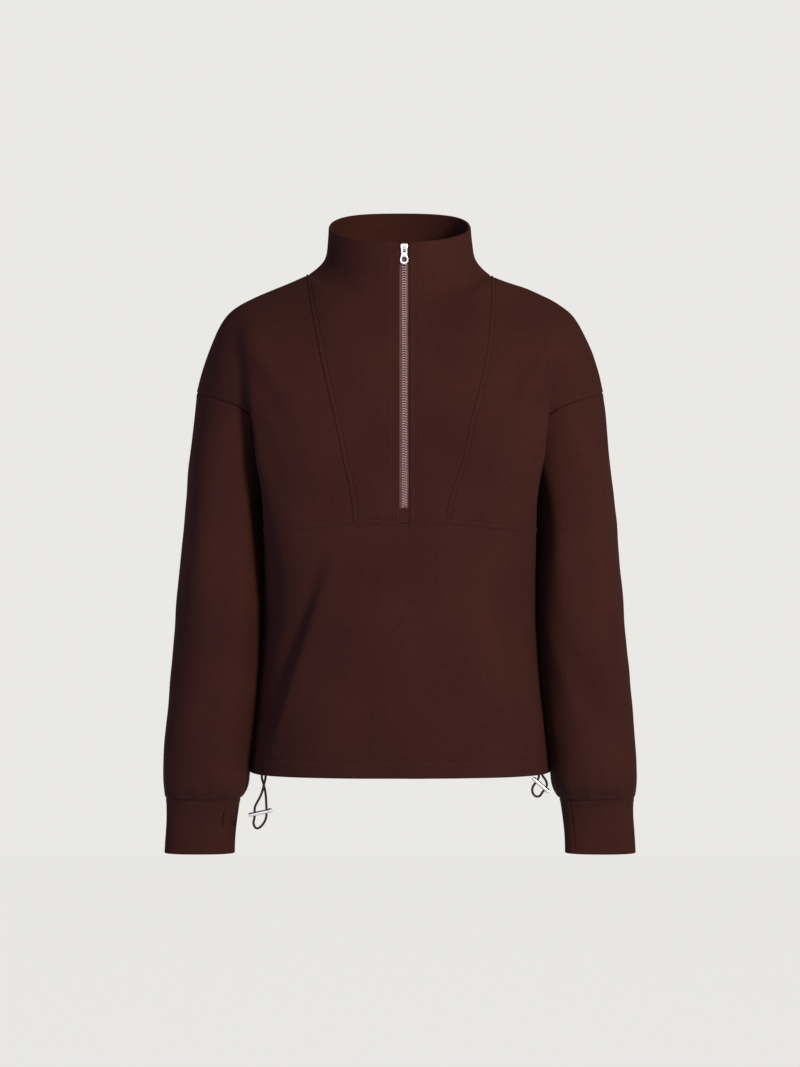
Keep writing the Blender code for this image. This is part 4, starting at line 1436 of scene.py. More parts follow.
@dataclass
class Piece:
    """One cut piece of cloth: its grid of points, and the rows of stitches on it."""

    name: str
    points: np.ndarray
    outward: np.ndarray
    thickness: np.ndarray | float = CLOTH
    rounded: tuple[bool, bool] = (False, False)
    closed: bool = False
    gone: tuple[slice, int] | None = None
    stitching: list[Seamline] = field(default_factory=list)

    def raise_by(self, height: np.ndarray) -> None:
        """Moves the points out by a height at each."""
        self.points = self.points + height[..., None] * self.outward

    def stitch_column(self, number: int, rows: slice = slice(None)) -> None:
        """Has one column stitched, or some of its rows."""
        self.stitching.append(Seamline(self.points[rows, number], self.outward[rows, number]))

    def stitch_row(self, number: int) -> None:
        """Has one row stitched."""
        self.stitching.append(Seamline(self.points[number], self.outward[number]))

    def build(self, room: Workroom) -> bpy.types.Object:
        """Makes the cloth and its stitches, logs its cut's size, and has it stand for its solid.

        Args:
            room: What it is made with.

        Returns:
            The cloth.
        """
        thickness = np.broadcast_to(self.thickness, self.points.shape[:2])[..., None]
        inner = self.points - self.outward * thickness
        knit = room.finishes.knit
        made = shell(f"{self.name}_cloth", self.points, inner, knit, self.closed, self.rounded, self.gone)
        stand_for(made, self.name)
        if self.stitching:
            label, thread = f"{self.name}_stitches", room.finishes.thread
            stitches = room.repeats.along(label, self.stitching, room.stitch, STITCH_PITCH, thread, 0.05)
            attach(stitches, "garment")
        self.declare(made)
        return made

    def declare(self, made: bpy.types.Object) -> None:
        wide = run_of(self.points, 1)[:, -1].max() * MM
        long = run_of(self.points, 0)[-1].max() * MM
        steps_up = np.diff(self.points, axis=0)[:, :-1]
        steps_over = np.diff(self.points, axis=1)[:-1]
        area = np.linalg.norm(np.cross(steps_up, steps_over), axis=-1).sum() * MM * MM
        area = min(area, wide * long)
        count = len(made.data.polygons)
        LOG.info("%s: cut %.3f x %.3f m, %.4f m2, %d faces", made.name, wide, long, area, count)


@dataclass
class Torso:
    """The panels of the body and collar, and the lines stitched on them."""

    room: Workroom
    pieces: list[Piece] = field(default_factory=list)
    front_rows: np.ndarray = field(init=False)
    low_rows: np.ndarray = field(init=False)
    neck_rows: np.ndarray = field(init=False)
    stations: np.ndarray = field(init=False)
    heights: np.ndarray = field(init=False)

    def __post_init__(self) -> None:
        """Spreads the rows up the body by real length beside the princess seam."""

        def beside_guide(line: np.ndarray, station: np.ndarray) -> np.ndarray:
            """Reads the princess seam's line on the wearer's left."""
            return body(1, Face.FRONT, station, np.full_like(station, GUIDE) + 0 * line)

        one = np.zeros(1)
        runs = (
            ((0, CHEST), (BESIDE_HEM, BESIDE_CHEST)),
            ((CHEST, UNDERARM), (BESIDE_CHEST, (0.0,))),
            ((UNDERARM, SHOULDER), ((0.0,), BESIDE_PLAIN)),
            ((SHOULDER, COLLAR_TOP), (BESIDE_PLAIN, BESIDE_END)),
        )
        self.low_rows, high, upper, self.neck_rows = (
            places_on(beside_guide, one, span, near, BODY_SPACING)[0] for span, near in runs
        )
        self.front_rows = np.concatenate((high[:-1], upper))
        self.front_rows[np.isclose(self.front_rows, UNDERARM)] = UNDERARM
        self.stations = np.linspace(0, COLLAR_TOP, 900)
        self.heights = run_of(beside_guide(one, self.stations), 0)

    def grid(
        self,
        name: str,
        surface: Surface,
        face: Face,
        stations: np.ndarray,
        span: tuple[float, float],
        near: tuple = (BESIDE_PLAIN, BESIDE_PLAIN),
    ) -> tuple[Piece, np.ndarray, np.ndarray, np.ndarray, np.ndarray]:
        """Lays out a panel's points with its folds on them.

        Args:
            name: The panel's CAD node.
            surface: The form it lies on.
            face: The front or the back.
            stations: Its rows.
            span: First and last place across.
            near: Extra columns beside the first and the last.

        Returns:
            The piece, its stations, its places across, and the distances from its first column and
            from its last one.
        """
        over = places_on(surface, stations, span, near, BODY_SPACING)
        up = np.broadcast_to(stations[:, None], over.shape)
        points = surface(up, over)
        outward = outward_of(surface, up, over, points * (0, 0, 1), EDGE)
        on_neck_side = (up >= SHOULDER) & (np.isclose(np.abs(over), GUIDE))
        shared = spline(NECK_SIDE, np.maximum(up - SHOULDER, 0))[..., 3:]
        shared[..., 0] *= np.sign(points[..., 0])
        outward = np.where(on_neck_side[..., None], shared, outward)
        low = run_of(points, 1)
        piece = Piece(name, points, outward)
        beside_arm = 1 - np.clip((EDGE - np.abs(over)) / 0.4, 0, 1)
        calm = 1 - beside_arm * np.clip(UNDERARM + 1 - up, 0, 1)
        piece.raise_by((fold_height(points, face) + unevenness(points)) * calm)
        return piece, up, over, low, low[:, -1:] - low

    def away_from(self, up: np.ndarray, station: float) -> np.ndarray:
        """Works out distances of stations from one station, up the princess seam's line."""
        here = np.interp(up, self.stations, self.heights)
        return np.abs(here - np.interp(station, self.stations, self.heights))

    def smooth_neck(self, piece: Piece, up: np.ndarray, high: np.ndarray) -> None:
        """Rounds the turn from the shoulder into the collar, away from the seam beside it."""
        run = run_of(piece.points, 0)
        weight = np.exp(-(((up - SHOULDER) / 1.1) ** 2)) * np.clip(high / 14, 0, 1)
        shares = np.gradient(run, axis=0)
        rounded = np.empty_like(piece.points)
        for column in range(run.shape[1]):
            apart = run[:, column, None] - run[None, :, column]
            kernel = np.exp(-0.5 * (apart / NECK_ROUNDING) ** 2) * shares[None, :, column]
            kernel /= kernel.sum(axis=1, keepdims=True)
            rounded[:, column] = kernel @ piece.points[:, column]
        piece.points = piece.points + weight[..., None] * (rounded - piece.points)

    def shoulder_seam(self, up: np.ndarray, over: np.ndarray) -> np.ndarray:
        """Works out the height of cloth beside the shoulder seam and the back of the neck."""
        share = np.interp(np.abs(over), (CENTRE, GUIDE, FOLD, EDGE), (1.1, 1.0, 0.8, 0.6))
        return plain_seam(self.away_from(up, SHOULDER) * share)

    def make_lower_front(self) -> None:
        """Makes the lower front, with the hem's turn and half of the chest seam's band."""
        surface = partial(full_width, Face.FRONT)
        laid = self.grid("lower_front", surface, Face.FRONT, self.low_rows, (-EDGE, EDGE))
        piece, up, _, low, high = laid
        for beside in (low, high):
            piece.raise_by(side_seam(beside) - groove(beside - SIDE_LEAN_PLACE, SIDE_LEAN, SIDE_LEAN_WIDE))
        piece.raise_by(banded_seam(self.away_from(up, CHEST), CHEST_BAND_HALF))
        self.add_hem(piece, up)
        piece.stitch_row(-1 - BESIDE_CHEST.index(CHEST_BAND_HALF))
        self.pieces.append(piece)

    def add_hem(self, piece: Piece, up: np.ndarray) -> None:
        """Turns the hem of a panel up, stitched in two rows."""
        above = self.away_from(up, 0)
        piece.raise_by(sum(stitched(above - row) for row in HEM_ROWS))
        piece.thickness = np.interp(above, (HEM_TURN + 2, HEM_TURN + 4.5), (DOUBLED_CLOTH, CLOTH))
        piece.rounded = (True, False)
        for row in HEM_ROWS:
            piece.stitch_row(BESIDE_HEM.index(row))

    def make_back(self) -> None:
        """Makes the back, from its hem to the neck and shoulder seams."""
        surface = partial(full_width, Face.BACK)
        rows = np.concatenate((self.low_rows[:-1], self.front_rows))
        piece, up, over, low, high = self.grid("back", surface, Face.BACK, rows, (-EDGE, EDGE))
        share = np.clip(up - UNDERARM + 1, 0, 1)
        above = self.away_from(up, 0)
        lean_height = SIDE_LEAN * (1 + HEM_LEAN * np.exp(-((above / HEM_LEAN_REACH) ** 2)))
        for beside in (low, high):
            lean = -groove(beside - SIDE_LEAN_PLACE, 1, SIDE_LEAN_WIDE) * lean_height
            piece.raise_by(share * plain_seam(beside) + (1 - share) * (side_seam(beside) + lean))
        piece.raise_by(self.shoulder_seam(up, over))
        self.add_hem(piece, up)
        self.pieces.append(piece)

    def make_collar_back(self) -> None:
        """Makes the back half of the stand collar, of two layers with a turned top."""
        surface = partial(full_width, Face.BACK)
        laid = self.grid("collar_back", surface, Face.BACK, self.neck_rows, (-GUIDE, GUIDE))
        piece, up, _, low, high = laid
        foot = plain_seam(self.away_from(up, SHOULDER))
        piece.raise_by(plain_seam(low) + plain_seam(high) + foot)
        piece.thickness = DOUBLED_CLOTH
        piece.rounded = (False, True)
        self.pieces.append(piece)

    def make_fronts(self) -> None:
        """Makes each side's centre front, with its half of the collar, and side front."""
        for side, name, _ in SIDES:
            surface = partial(body, side, Face.FRONT, start_x=side * ZIP_X + ZIP_OPENING / 2)
            rows = np.concatenate((self.front_rows[:-1], self.neck_rows))
            near = (BESIDE_ZIP, BESIDE_BAND)
            label = f"centre_front_{name}"
            piece, up, _, low, high = self.grid(label, surface, Face.FRONT, rows, (CENTRE, GUIDE), near)
            self.smooth_neck(piece, up, high)
            below_neck = 1 / (1 + np.exp((up - SHOULDER + 0.06) / 0.025))
            seam = below_neck * banded_seam(high, BAND_HALF) + (1 - below_neck) * plain_seam(high)
            edge = groove(low, *ZIP_GROOVE) + sum(stitched(low - row) for row in ZIP_ROWS)
            piece.raise_by(seam + edge + banded_seam(self.away_from(up, CHEST), CHEST_BAND_HALF))
            doubled = np.clip((up - SHOULDER + 0.4) / 0.5, 0, 1) * np.clip((low - 8) / 6, 0, 1)
            piece.thickness = CLOTH + (DOUBLED_CLOTH - CLOTH) * doubled
            piece.rounded = (False, True)
            for row in ZIP_ROWS:
                piece.stitch_column(BESIDE_ZIP.index(row))
            piece.stitch_column(-1 - BESIDE_BAND.index(BAND_HALF), slice(0, len(self.front_rows)))
            piece.stitch_row(BESIDE_CHEST.index(CHEST_BAND_HALF))
            self.pieces.append(piece)
            label = f"side_front_{name}"
            near = (BESIDE_BAND, BESIDE_PLAIN)
            laid = self.grid(label, surface, Face.FRONT, self.front_rows, (GUIDE, EDGE), near)
            piece, up, over, low, high = laid
            share = np.clip(up - UNDERARM + 0.2, 0, 1)
            ends = share * plain_seam(high) + (1 - share) * side_seam(high) + self.shoulder_seam(up, over)
            bands = banded_seam(low, BAND_HALF) + banded_seam(self.away_from(up, CHEST), CHEST_BAND_HALF)
            piece.raise_by(ends + bands)
            piece.stitch_column(BESIDE_BAND.index(BAND_HALF))
            piece.stitch_row(BESIDE_CHEST.index(CHEST_BAND_HALF))
            self.pieces.append(piece)

    def build(self) -> None:
        """Makes every panel."""
        self.make_lower_front()
        self.make_back()
        self.make_collar_back()
        self.make_fronts()
        for piece in self.pieces:
            piece.build(self.room)


@dataclass
class Arm:
    """One sleeve with its doubled cuff."""

    room: Workroom
    side: int
    name: str
    slit_place: float

    def columns(self, rows: np.ndarray) -> np.ndarray:
        """Takes the sleeve's columns from the body's rows, so that both meet at the armhole."""
        front = rows[rows >= UNDERARM]
        return np.concatenate((front, OVER - front[-2::-1]))

    def build(self, rows: np.ndarray) -> None:
        """Makes the sleeve and the cuff.

        Args:
            rows: The body's rows beside the armhole.
        """
        around = self.columns(rows)

        tube = partial(sleeve, self.side)

        def down(column: np.ndarray, along: np.ndarray) -> np.ndarray:
            """Reads the sleeve with its column first."""
            return tube(along, column)

        near = (BESIDE_PLAIN, BESIDE_PLAIN)
        along = places_on(down, around, (0, len(SLEEVE_RINGS)), near, SLEEVE_SPACING).T
        about = np.broadcast_to(around, along.shape)
        points = tube(along, about)
        outward = outward_of(tube, along, about, points.mean(axis=1, keepdims=True))
        above = run_of(points, 0)
        below = above[-1] - above
        angle = angle_of(about)
        puckers = np.sin(angle * GATHER_COUNT + 1.3 * np.sin(angle * 4 + self.side))
        drawn_in = np.exp(-((below / GATHER_REACH) ** 2)) * (1 - np.exp(-((below / GATHER_START) ** 2)))
        gathers = GATHER * puckers * drawn_in
        piece = Piece(f"sleeve_{self.name}", points, outward, closed=True)
        height = sleeve_fold_height(self.side, points, about)
        height *= np.clip(above / 30, 0, 1) * np.clip(below / 20, 0, 1)
        half = ARMHOLE_LOOP / 2
        from_inside = np.abs(np.mod(about - UNDERARM + half, ARMHOLE_LOOP) - half)
        calm = np.clip(from_inside / 1.3, 0, 1)
        seams = plain_seam(above) + 0.5 * plain_seam(below) + side_seam(from_inside * SLEEVE_PLACE)
        piece.raise_by((height + unevenness(points)) * calm + gathers + seams)
        piece.build(self.room)
        self.build_cuff(around)

    def build_cuff(self, around: np.ndarray) -> None:
        """Makes the cuff, whose seam is left open for the thumb.

        Args:
            around: Places round it, as on the sleeve.
        """
        slit = UNDERARM + self.slit_place * (SHOULDER - UNDERARM)
        clear = around[np.abs(around - slit) > CUFF_SLIT_CLEAR]
        beside = np.sort(np.append(clear, slit + np.array(CUFF_SLIT_COLUMNS)))
        column = int(np.searchsorted(beside, slit)) - 1
        tube = partial(cuff, self.side)

        def down(line: np.ndarray, along: np.ndarray) -> np.ndarray:
            """Reads the cuff with its place round it first."""
            return tube(along, line)

        span, near = (0, len(CUFF_RINGS) - 1), (BESIDE_PLAIN, BESIDE_END)
        rows = places_on(down, np.array([slit]), span, near, CUFF_SPACING)[0]
        along, about = np.meshgrid(rows, beside, indexing="ij")
        in_slit = (along - CUFF_SLIT_ROW) / CUFF_SLIT_HALF
        reach = CUFF_SLIT_REACH * np.sqrt(np.clip(1 - in_slit**2, 0, 1))
        pushed = np.exp(-(((about - slit) / CUFF_SLIT_SPREAD) ** 2))
        about = about + np.sign(about - slit) * reach * pushed
        points = tube(along, about)
        outward = outward_of(tube, along, about, points.mean(axis=1, keepdims=True))
        above = run_of(points, 0)
        seam = np.abs(about - slit) * CUFF_PLACE
        piece = Piece(f"cuff_{self.name}", points, outward, DOUBLED_CLOTH, (False, True), True)
        open_rows = np.flatnonzero(np.abs(rows - CUFF_SLIT_ROW) < CUFF_SLIT_HALF)
        piece.gone = (slice(int(open_rows[0]), int(open_rows[-1])), column)
        piece.raise_by(0.5 * unevenness(points) + 0.5 * plain_seam(above) + 0.8 * plain_seam(seam))
        piece.build(self.room)


def both_halves(half: Sequence) -> list[tuple[float, float]]:
    """Makes a whole outline from its half on the wearer's left."""
    return [(-x, z) for x, z in half] + [(x, z) for x, z in reversed(half)]


def plate(
    name: str, outline: Sequence, thick: float, place: Vector, finish: bpy.types.Material
) -> bpy.types.Object:
    """Makes a flat piece from an outline seen from the front.

    Args:
        name: The object's name.
        outline: Its corners in X and Z, in millimetres.
        thick: Its thickness, half on each side of its place.
        place: Where the outline's zero lies, in millimetres.
        finish: Its material.

    Returns:
        The object.
    """
    count = len(outline)
    front = [Vector((x, -thick / 2, z)) + place for x, z in outline]
    back = [corner + Vector((0, thick, 0)) for corner in front]
    faces = [tuple(range(count)), tuple(range(2 * count - 1, count - 1, -1))]
    for here in range(count):
        beside = (here + 1) % count
        faces.append((beside, here, count + here, count + beside))
    mesh = bpy.data.meshes.new(name)
    mesh.from_pydata([tuple(corner * MM) for corner in front + back], [], faces)
    return link_mesh(name, mesh, finish)


def turned(
    name: str, profile: Sequence, start: Vector, end: Vector, finish: bpy.types.Material, sides: int = 32
) -> bpy.types.Object:
    """Makes a turned piece between two points.

    Args:
        name: The object's name.
        profile: Pairs of a distance from the start and a radius, in millimetres.
        start: Its first end.
        end: Its second end.
        finish: Its material.
        sides: How many sides it has.

    Returns:
        The object.
    """
    axis = (end - start).normalized()
    across = axis.orthogonal().normalized()
    beside = axis.cross(across)
    turns = np.linspace(0, 2 * math.pi, sides, endpoint=False)
    spokes = np.cos(turns)[:, None] * np.array(across) + np.sin(turns)[:, None] * np.array(beside)
    rings = [np.array(start + axis * along) + radius * spokes for along, radius in profile]
    return tube_mesh(name, np.array(rings), finish)


def rounded_profile(length: float, radius: float, round_off: float) -> list[tuple[float, float]]:
    """Makes the profile of a bar with rounded ends."""
    half = []
    for angle in np.linspace(0, math.pi / 2, 6):
        half.append((round_off * (1 - math.cos(angle)), radius - round_off * (1 - math.sin(angle))))
    return half + [(length - along, reach) for along, reach in reversed(half)]


def combine(piece: bpy.types.Object, other: bpy.types.Object, operation: str) -> None:
    """Cuts another piece from this one, or joins it on."""
    shaping = piece.modifiers.new(other.name, "BOOLEAN")
    shaping.operation = operation
    shaping.solver = "EXACT"
    shaping.object = other


def finished(
    piece: bpy.types.Object, helpers: Sequence[bpy.types.Object], bevel: float
) -> bpy.types.Object:
    """Rounds a piece's edges, makes its mesh plain, and removes its helpers.

    Args:
        piece: The piece, with its modifiers.
        helpers: What it was cut or joined with.
        bevel: Width of its rounded edges, in millimetres.

    Returns:
        The piece.
    """
    if bevel:
        rounding = piece.modifiers.new("rounded_edges", "BEVEL")
        rounding.width = bevel * MM
        rounding.segments = 3
        rounding.limit_method = "ANGLE"
        rounding.angle_limit = math.radians(38)
    bpy.context.view_layer.update()
    evaluated = piece.evaluated_get(bpy.context.evaluated_depsgraph_get())
    plain = bpy.data.meshes.new_from_object(evaluated)
    piece.modifiers.clear()
    piece.data = plain
    plain.shade_smooth()
    plain.set_sharp_from_angle(angle=HARD_EDGE)
    for helper in helpers:
        bpy.data.objects.remove(helper)
    return piece


@dataclass
class Zip:
    """The half-length zip: tape, teeth, slider, pull tab, and the strip of cloth below it."""

    room: Workroom
    stations: np.ndarray

    def strip(self, rows: np.ndarray, offsets: np.ndarray, depth: float) -> tuple[np.ndarray, np.ndarray]:
        """Lays out points down the zip at a depth under the cloth's face.

        Args:
            rows: Stations.
            offsets: Distances of its columns from the zip's middle.
            depth: How deep it lies.

        Returns:
            The points, and the ways out of them.
        """
        up, over = np.meshgrid(rows, offsets, indexing="ij")
        points = beside_zip(up, over)
        outward = outward_of(beside_zip, up, over, points * (0, 0, 1))
        return points - outward * depth, outward

    def rows(self, first: float, last: float) -> np.ndarray:
        """Takes the fronts' rows between two stations."""
        inside = self.stations[(self.stations > first + 0.01) & (self.stations < last - 0.01)]
        return np.concatenate(([first], inside, [last]))

    def build(self) -> None:
        """Makes the whole zip."""
        half = ZIP_OPENING / 2 - 0.1
        rows = self.rows(CHEST + 0.005, ZIP_END)
        points, outward = self.strip(rows, np.linspace(-half, half, 9), 0.25)
        inner = points - outward * CLOTH
        cloth = shell("zip_end_strip_cloth", points, inner, self.room.finishes.knit)
        stand_for(cloth, "zip_end_strip")
        self.build_tape()
        self.build_slider()
        self.build_pull()

    def build_tape(self) -> None:
        """Makes the tape's two halves, joined at their ends, with the teeth on them."""
        half = np.linspace(ZIP_TAPE_GAP, ZIP_TAPE_HALF, 11)
        rows = self.rows(ZIP_END - 0.12, COLLAR_TOP - 0.08)
        points, outward = self.strip(rows, np.concatenate((-half[::-1], half)), ZIP_TAPE_DEPTH)
        lowest = int(np.searchsorted(rows, ZIP_END + 0.2))
        between = (slice(lowest, len(rows) - 2), len(half) - 1)
        inner = points - outward * ZIP_TAPE
        tape = shell("zip_tape_cloth", points, inner, self.room.finishes.tape, gone=between)
        stand_for(tape, "zip_tape")
        teeth = self.build_teeth()
        wide, long = run_of(points, 1)[:, -1].max() * MM, run_of(points, 0)[-1].max() * MM

    def build_teeth(self) -> bpy.types.Object:
        """Makes the two rows of moulded teeth, which alternate by half a pitch."""
        finish = self.room.finishes.teeth
        blocks = []
        lines = []
        rows = np.linspace(ZIP_END + 0.03, COLLAR_TOP - 0.1, 900)
        for side, skip in ((-1, 0.0), (1, TOOTH_PITCH / 2)):
            up, over = np.meshgrid(rows, np.array((-TOOTH_PLACE, TOOTH_PLACE)), indexing="ij")
            points = beside_zip(up, over)
            outward = outward_of(beside_zip, up, over, points * (0, 0, 1))
            points = points - outward * TOOTH_DEPTH
            column = 0 if side < 0 else 1
            kept = run_of(points, 0)[:, column] >= skip
            ways = outward[kept, column]
            lines.append(Seamline(points[kept, column], ways))
            outline = [(-side * across, high + TOOTH_SLANT * across) for across, high in TOOTH_OUTLINE]
            outline = outline[::-side]
            block = plate(f"tooth_pattern_{column}", outline, TOOTH_DEEP, Vector((0, 0, 0)), finish)
            block.data.transform(Matrix.Rotation(-math.pi / 2, 4, "X"))
            blocks.append(finished(block, (), TOOTH_BEVEL))
        made = [
            self.room.repeats.along(f"teeth_{number}", [line], block, TOOTH_PITCH, finish)
            for number, (line, block) in enumerate(zip(lines, blocks))
        ]
        work = bmesh.new()
        for number, row in enumerate(made):
            if number == 1:
                row.data.flip_normals()
            work.from_mesh(row.data)
        bmesh.ops.recalc_face_normals(work, faces=work.faces)
        mesh = bpy.data.meshes.new("zip_teeth")
        work.to_mesh(mesh)
        work.free()
        for row in (*made, *blocks):
            bpy.data.objects.remove(row)
        teeth = link_mesh("zip_teeth", mesh, finish)
        mesh.set_sharp_from_angle(angle=HARD_EDGE)
        stand_for(teeth, "zip_chain")
        return teeth

    def build_slider(self) -> bpy.types.Object:
        """Makes the slider, whose bridge holds the pull tab's top bar."""
        metal = self.room.finishes.metal
        place = Vector((ZIP_X, SLIDER_Y, SLIDER_Z))
        slider = plate("zip_slider_body", both_halves(SLIDER_OUTLINE), SLIDER_THICK, place, metal)
        middle = Vector((ZIP_X, PULL_AXIS_Y, PULL_AXIS_Z))
        arch = [(SLIDER_Y - PULL_AXIS_Y, BRIDGE_REACH)]
        for angle in np.linspace(math.pi / 2, 1.5 * math.pi, BRIDGE_STEPS):
            arch.append((BRIDGE_REACH * math.cos(angle), BRIDGE_REACH * math.sin(angle)))
        arch.append((SLIDER_Y - PULL_AXIS_Y, -BRIDGE_REACH))
        bridge = plate("bridge_guide", arch, 2 * BRIDGE_HALF, Vector((0, 0, 0)), metal)
        bridge.data.transform(Matrix.Rotation(math.pi / 2, 4, "Z"))
        bridge.data.transform(Matrix.Translation(middle * MM))
        combine(slider, bridge, "UNION")
        reach = Vector((2 * BRIDGE_HALF, 0, 0))
        profile = ((0, BRIDGE_EYE), (4 * BRIDGE_HALF, BRIDGE_EYE))
        eye = turned("eye_guide", profile, middle - reach, middle + reach, metal, 24)
        combine(slider, eye, "DIFFERENCE")
        finished(slider, (bridge, eye), SLIDER_BEVEL)
        stand_for(slider, "zip_slider")
        return slider

    def build_pull(self) -> bpy.types.Object:
        """Makes the pull tab, which turns about its own top bar."""
        metal = self.room.finishes.metal
        place = Vector((ZIP_X, PULL_AXIS_Y, PULL_AXIS_Z))
        half = list(PULL_OUTLINE)
        for number in range(PULL_END_STEPS):
            angle = -math.pi / 2 * number / PULL_END_STEPS
            x = PULL_END_RADIUS * math.cos(angle)
            half.append((x, PULL_END_Z + PULL_END_RADIUS * math.sin(angle)))
        pull = plate("zip_pull_tab", both_halves(half), PULL_THICK, place, metal)
        edge = ((PULL_WINDOW_HALF, PULL_WINDOW_TOP), (PULL_WINDOW_HALF, PULL_WINDOW_BOTTOM))
        window = plate("window_guide", both_halves(edge), 3 * PULL_THICK, place, metal)
        combine(pull, window, "DIFFERENCE")
        middle = place + Vector((0, 0, PULL_HOLE_Z))
        reach = Vector((0, 1.5 * PULL_THICK, 0))
        profile = ((0, PULL_HOLE), (3 * PULL_THICK, PULL_HOLE))
        hole = turned("hole_guide", profile, middle - reach, middle + reach, metal, 40)
        combine(pull, hole, "DIFFERENCE")
        finished(pull, (window, hole), PULL_BEVEL)
        stand_for(pull, "zip_pull", "pull_tab")
        return pull


@dataclass
class Drawcord:
    """One braided drawcord that leaves the hem and goes back into it, with its bar toggle."""

    room: Workroom
    name: str
    route: Sequence
    first_end: Vector
    second_end: Vector
    strands: Sequence

    def line(self) -> np.ndarray:
        """Reads the cord's line at even lengths."""
        knots = np.array(self.route, float)
        fine = spline(knots, np.linspace(0, len(knots) - 1, 900))
        run = run_of(fine, 0)
        at = np.linspace(0, run[-1], int(run[-1] / CORD_STEP) + 2)
        return np.stack([np.interp(at, run, fine[:, axis]) for axis in range(3)], -1)

    def build(self) -> None:
        """Makes the cord and its toggle."""
        line = self.line()
        ways = np.gradient(line, axis=0)
        ways /= np.linalg.norm(ways, axis=1, keepdims=True)
        across = np.cross(ways[0], (0.3, 1.0, 0.2))
        rings = []
        for point, way in zip(line, ways):
            across = across - way * (across @ way)
            across /= np.linalg.norm(across)
            turns = np.linspace(0, 2 * math.pi, CORD_SIDES, endpoint=False)[:, None]
            spokes = np.cos(turns) * across + np.sin(turns) * np.cross(way, across)
            rings.append(point + CORD / 2 * spokes)
        cord = tube_mesh(f"cord_{self.name}_braid", np.array(rings), self.room.finishes.cord)
        stand_for(cord, f"cord_{self.name}")
        toggle = self.build_toggle()
        run_of(line, 0)[-1] * MM

    def build_toggle(self) -> bpy.types.Object:
        """Makes the bar toggle, with a collar at one end and two holes for the cord."""
        metal = self.room.finishes.metal
        start, end = Vector(self.first_end), Vector(self.second_end)
        axis = (end - start).normalized()
        profile = rounded_profile((end - start).length, TOGGLE / 2, TOGGLE_ROUND)
        bar = turned(f"toggle_{self.name}_bar", profile, start, end, metal)
        middle = end - axis * TOGGLE_COLLAR_INSET
        first = middle - axis * TOGGLE_COLLAR_LENGTH / 2
        second = middle + axis * TOGGLE_COLLAR_LENGTH / 2
        ring = rounded_profile(TOGGLE_COLLAR_LENGTH, TOGGLE_COLLAR_RADIUS, TOGGLE_COLLAR_ROUND)
        helpers = [turned("collar_guide", ring, first, second, metal)]
        combine(bar, helpers[0], "UNION")
        for number, (place, along) in enumerate(self.strands):
            place, way = Vector(place), Vector(along).normalized() * 1.5 * TOGGLE
            radius = CORD / 2 + HOLE_EASE
            profile = ((0, radius), (3 * TOGGLE, radius))
            hole = turned(f"strand_guide_{number}", profile, place - way, place + way, metal, 20)
            combine(bar, hole, "DIFFERENCE")
            helpers.append(hole)
        finished(bar, helpers, 0)
        stand_for(bar, f"toggle_{self.name}")
        return bar


@dataclass
class Lamp:
    """A soft square lamp that looks at the sweatshirt's middle."""

    name: str
    place: tuple[float, float, float]
    size: float
    power: float
    colour: str

    def build(self) -> bpy.types.Object:
        """Puts the lamp in the scene."""
        light = bpy.data.lights.new(self.name, "AREA")
        light.shape = "SQUARE"
        light.size = self.size
        light.energy = self.power
        light.color = linear(self.colour)[:3]
        made = bpy.data.objects.new(self.name, light)
        made.location = self.place
        toward = Vector(LAMP_TARGET) - Vector(self.place)
        made.rotation_euler = toward.to_track_quat("-Z", "Y").to_euler()
        bpy.context.scene.collection.objects.link(made)
        return made


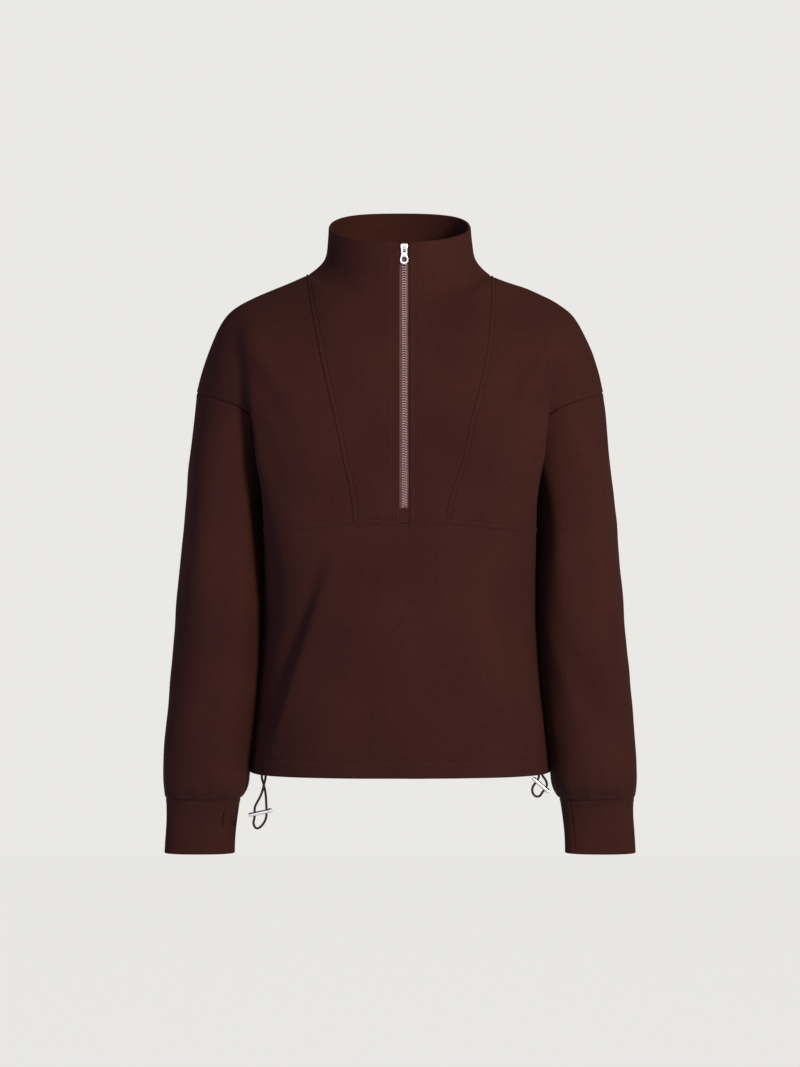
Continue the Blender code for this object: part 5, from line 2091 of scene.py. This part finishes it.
@dataclass
class Studio:
    """A pale seamless stage, soft lamps, and the camera level in front of the sweatshirt."""

    finishes: Finishes

    def build(self) -> None:
        """Makes the stage, the lights and the camera."""
        self.build_stage()
        for lamp in LAMPS:
            made = Lamp(*lamp).build()
            made.visible_diffuse = made.name != "panel"
        self.build_air()
        camera = bpy.data.cameras.new("camera")
        camera.sensor_width = CAMERA_SENSOR
        camera.lens = CAMERA_LENS
        made = bpy.data.objects.new("camera", camera)
        made.location = CAMERA_PLACE
        made.rotation_euler = (math.pi / 2, 0, 0)
        scene = bpy.context.scene
        scene.view_settings.view_transform = "Standard"
        scene.collection.objects.link(made)
        scene.camera = made

    def build_air(self) -> None:
        """Makes the faint light all round, and the paper's tone where nothing is behind."""
        world = bpy.data.worlds.new("studio_air")
        world.use_nodes = True
        tree = world.node_tree
        air = tree.nodes["Background"]
        air.inputs["Color"].default_value = linear(AIR)
        air.inputs["Strength"].default_value = AIR_STRENGTH
        behind = add_node(tree, "ShaderNodeBackground", {"Color": linear(PAPER)}).outputs[0]
        seen = add_node(tree, "ShaderNodeLightPath").outputs["Is Camera Ray"]
        both = {"Fac": seen, "Shader": air.outputs[0], "Shader_001": behind}
        shown = add_node(tree, "ShaderNodeMixShader", links=both).outputs[0]
        tree.links.new(shown, tree.nodes["World Output"].inputs["Surface"])
        bpy.context.scene.world = world

    def build_stage(self) -> None:
        """Makes the flat floor, of the same paper as the background."""
        corners = ((-1, -1), (1, -1), (1, 1), (-1, 1))
        points = [(x * STAGE_HALF, y * STAGE_HALF, STAGE_FLOOR) for x, y in corners]
        mesh = bpy.data.meshes.new("stage_paper")
        mesh.from_pydata(points, [], [(0, 1, 2, 3)])
        paper = link_mesh("stage_paper", mesh, self.finishes.paper)
        paper.visible_diffuse = False


def main() -> None:
    """Builds the sweatshirt and its stage, and measures the result."""
    logging.basicConfig(level=logging.INFO, format="%(message)s")
    finishes = Finishes.made()
    room = Workroom(finishes, Repeats(), stitch_item(finishes.thread))
    torso = Torso(room)
    torso.build()
    for side, name, slit_place in SIDES:
        Arm(room, side, name, slit_place).build(torso.front_rows)
    Zip(room, np.concatenate((torso.front_rows[:-1], torso.neck_rows))).build()
    for name, route, first_end, second_end, strands in CORDS:
        Drawcord(room, name, route, first_end, second_end, strands).build()
    bpy.data.objects.remove(room.stitch)
    Studio(finishes).build()
    bpy.context.view_layer.update()


if __name__ == "__main__":
    main()
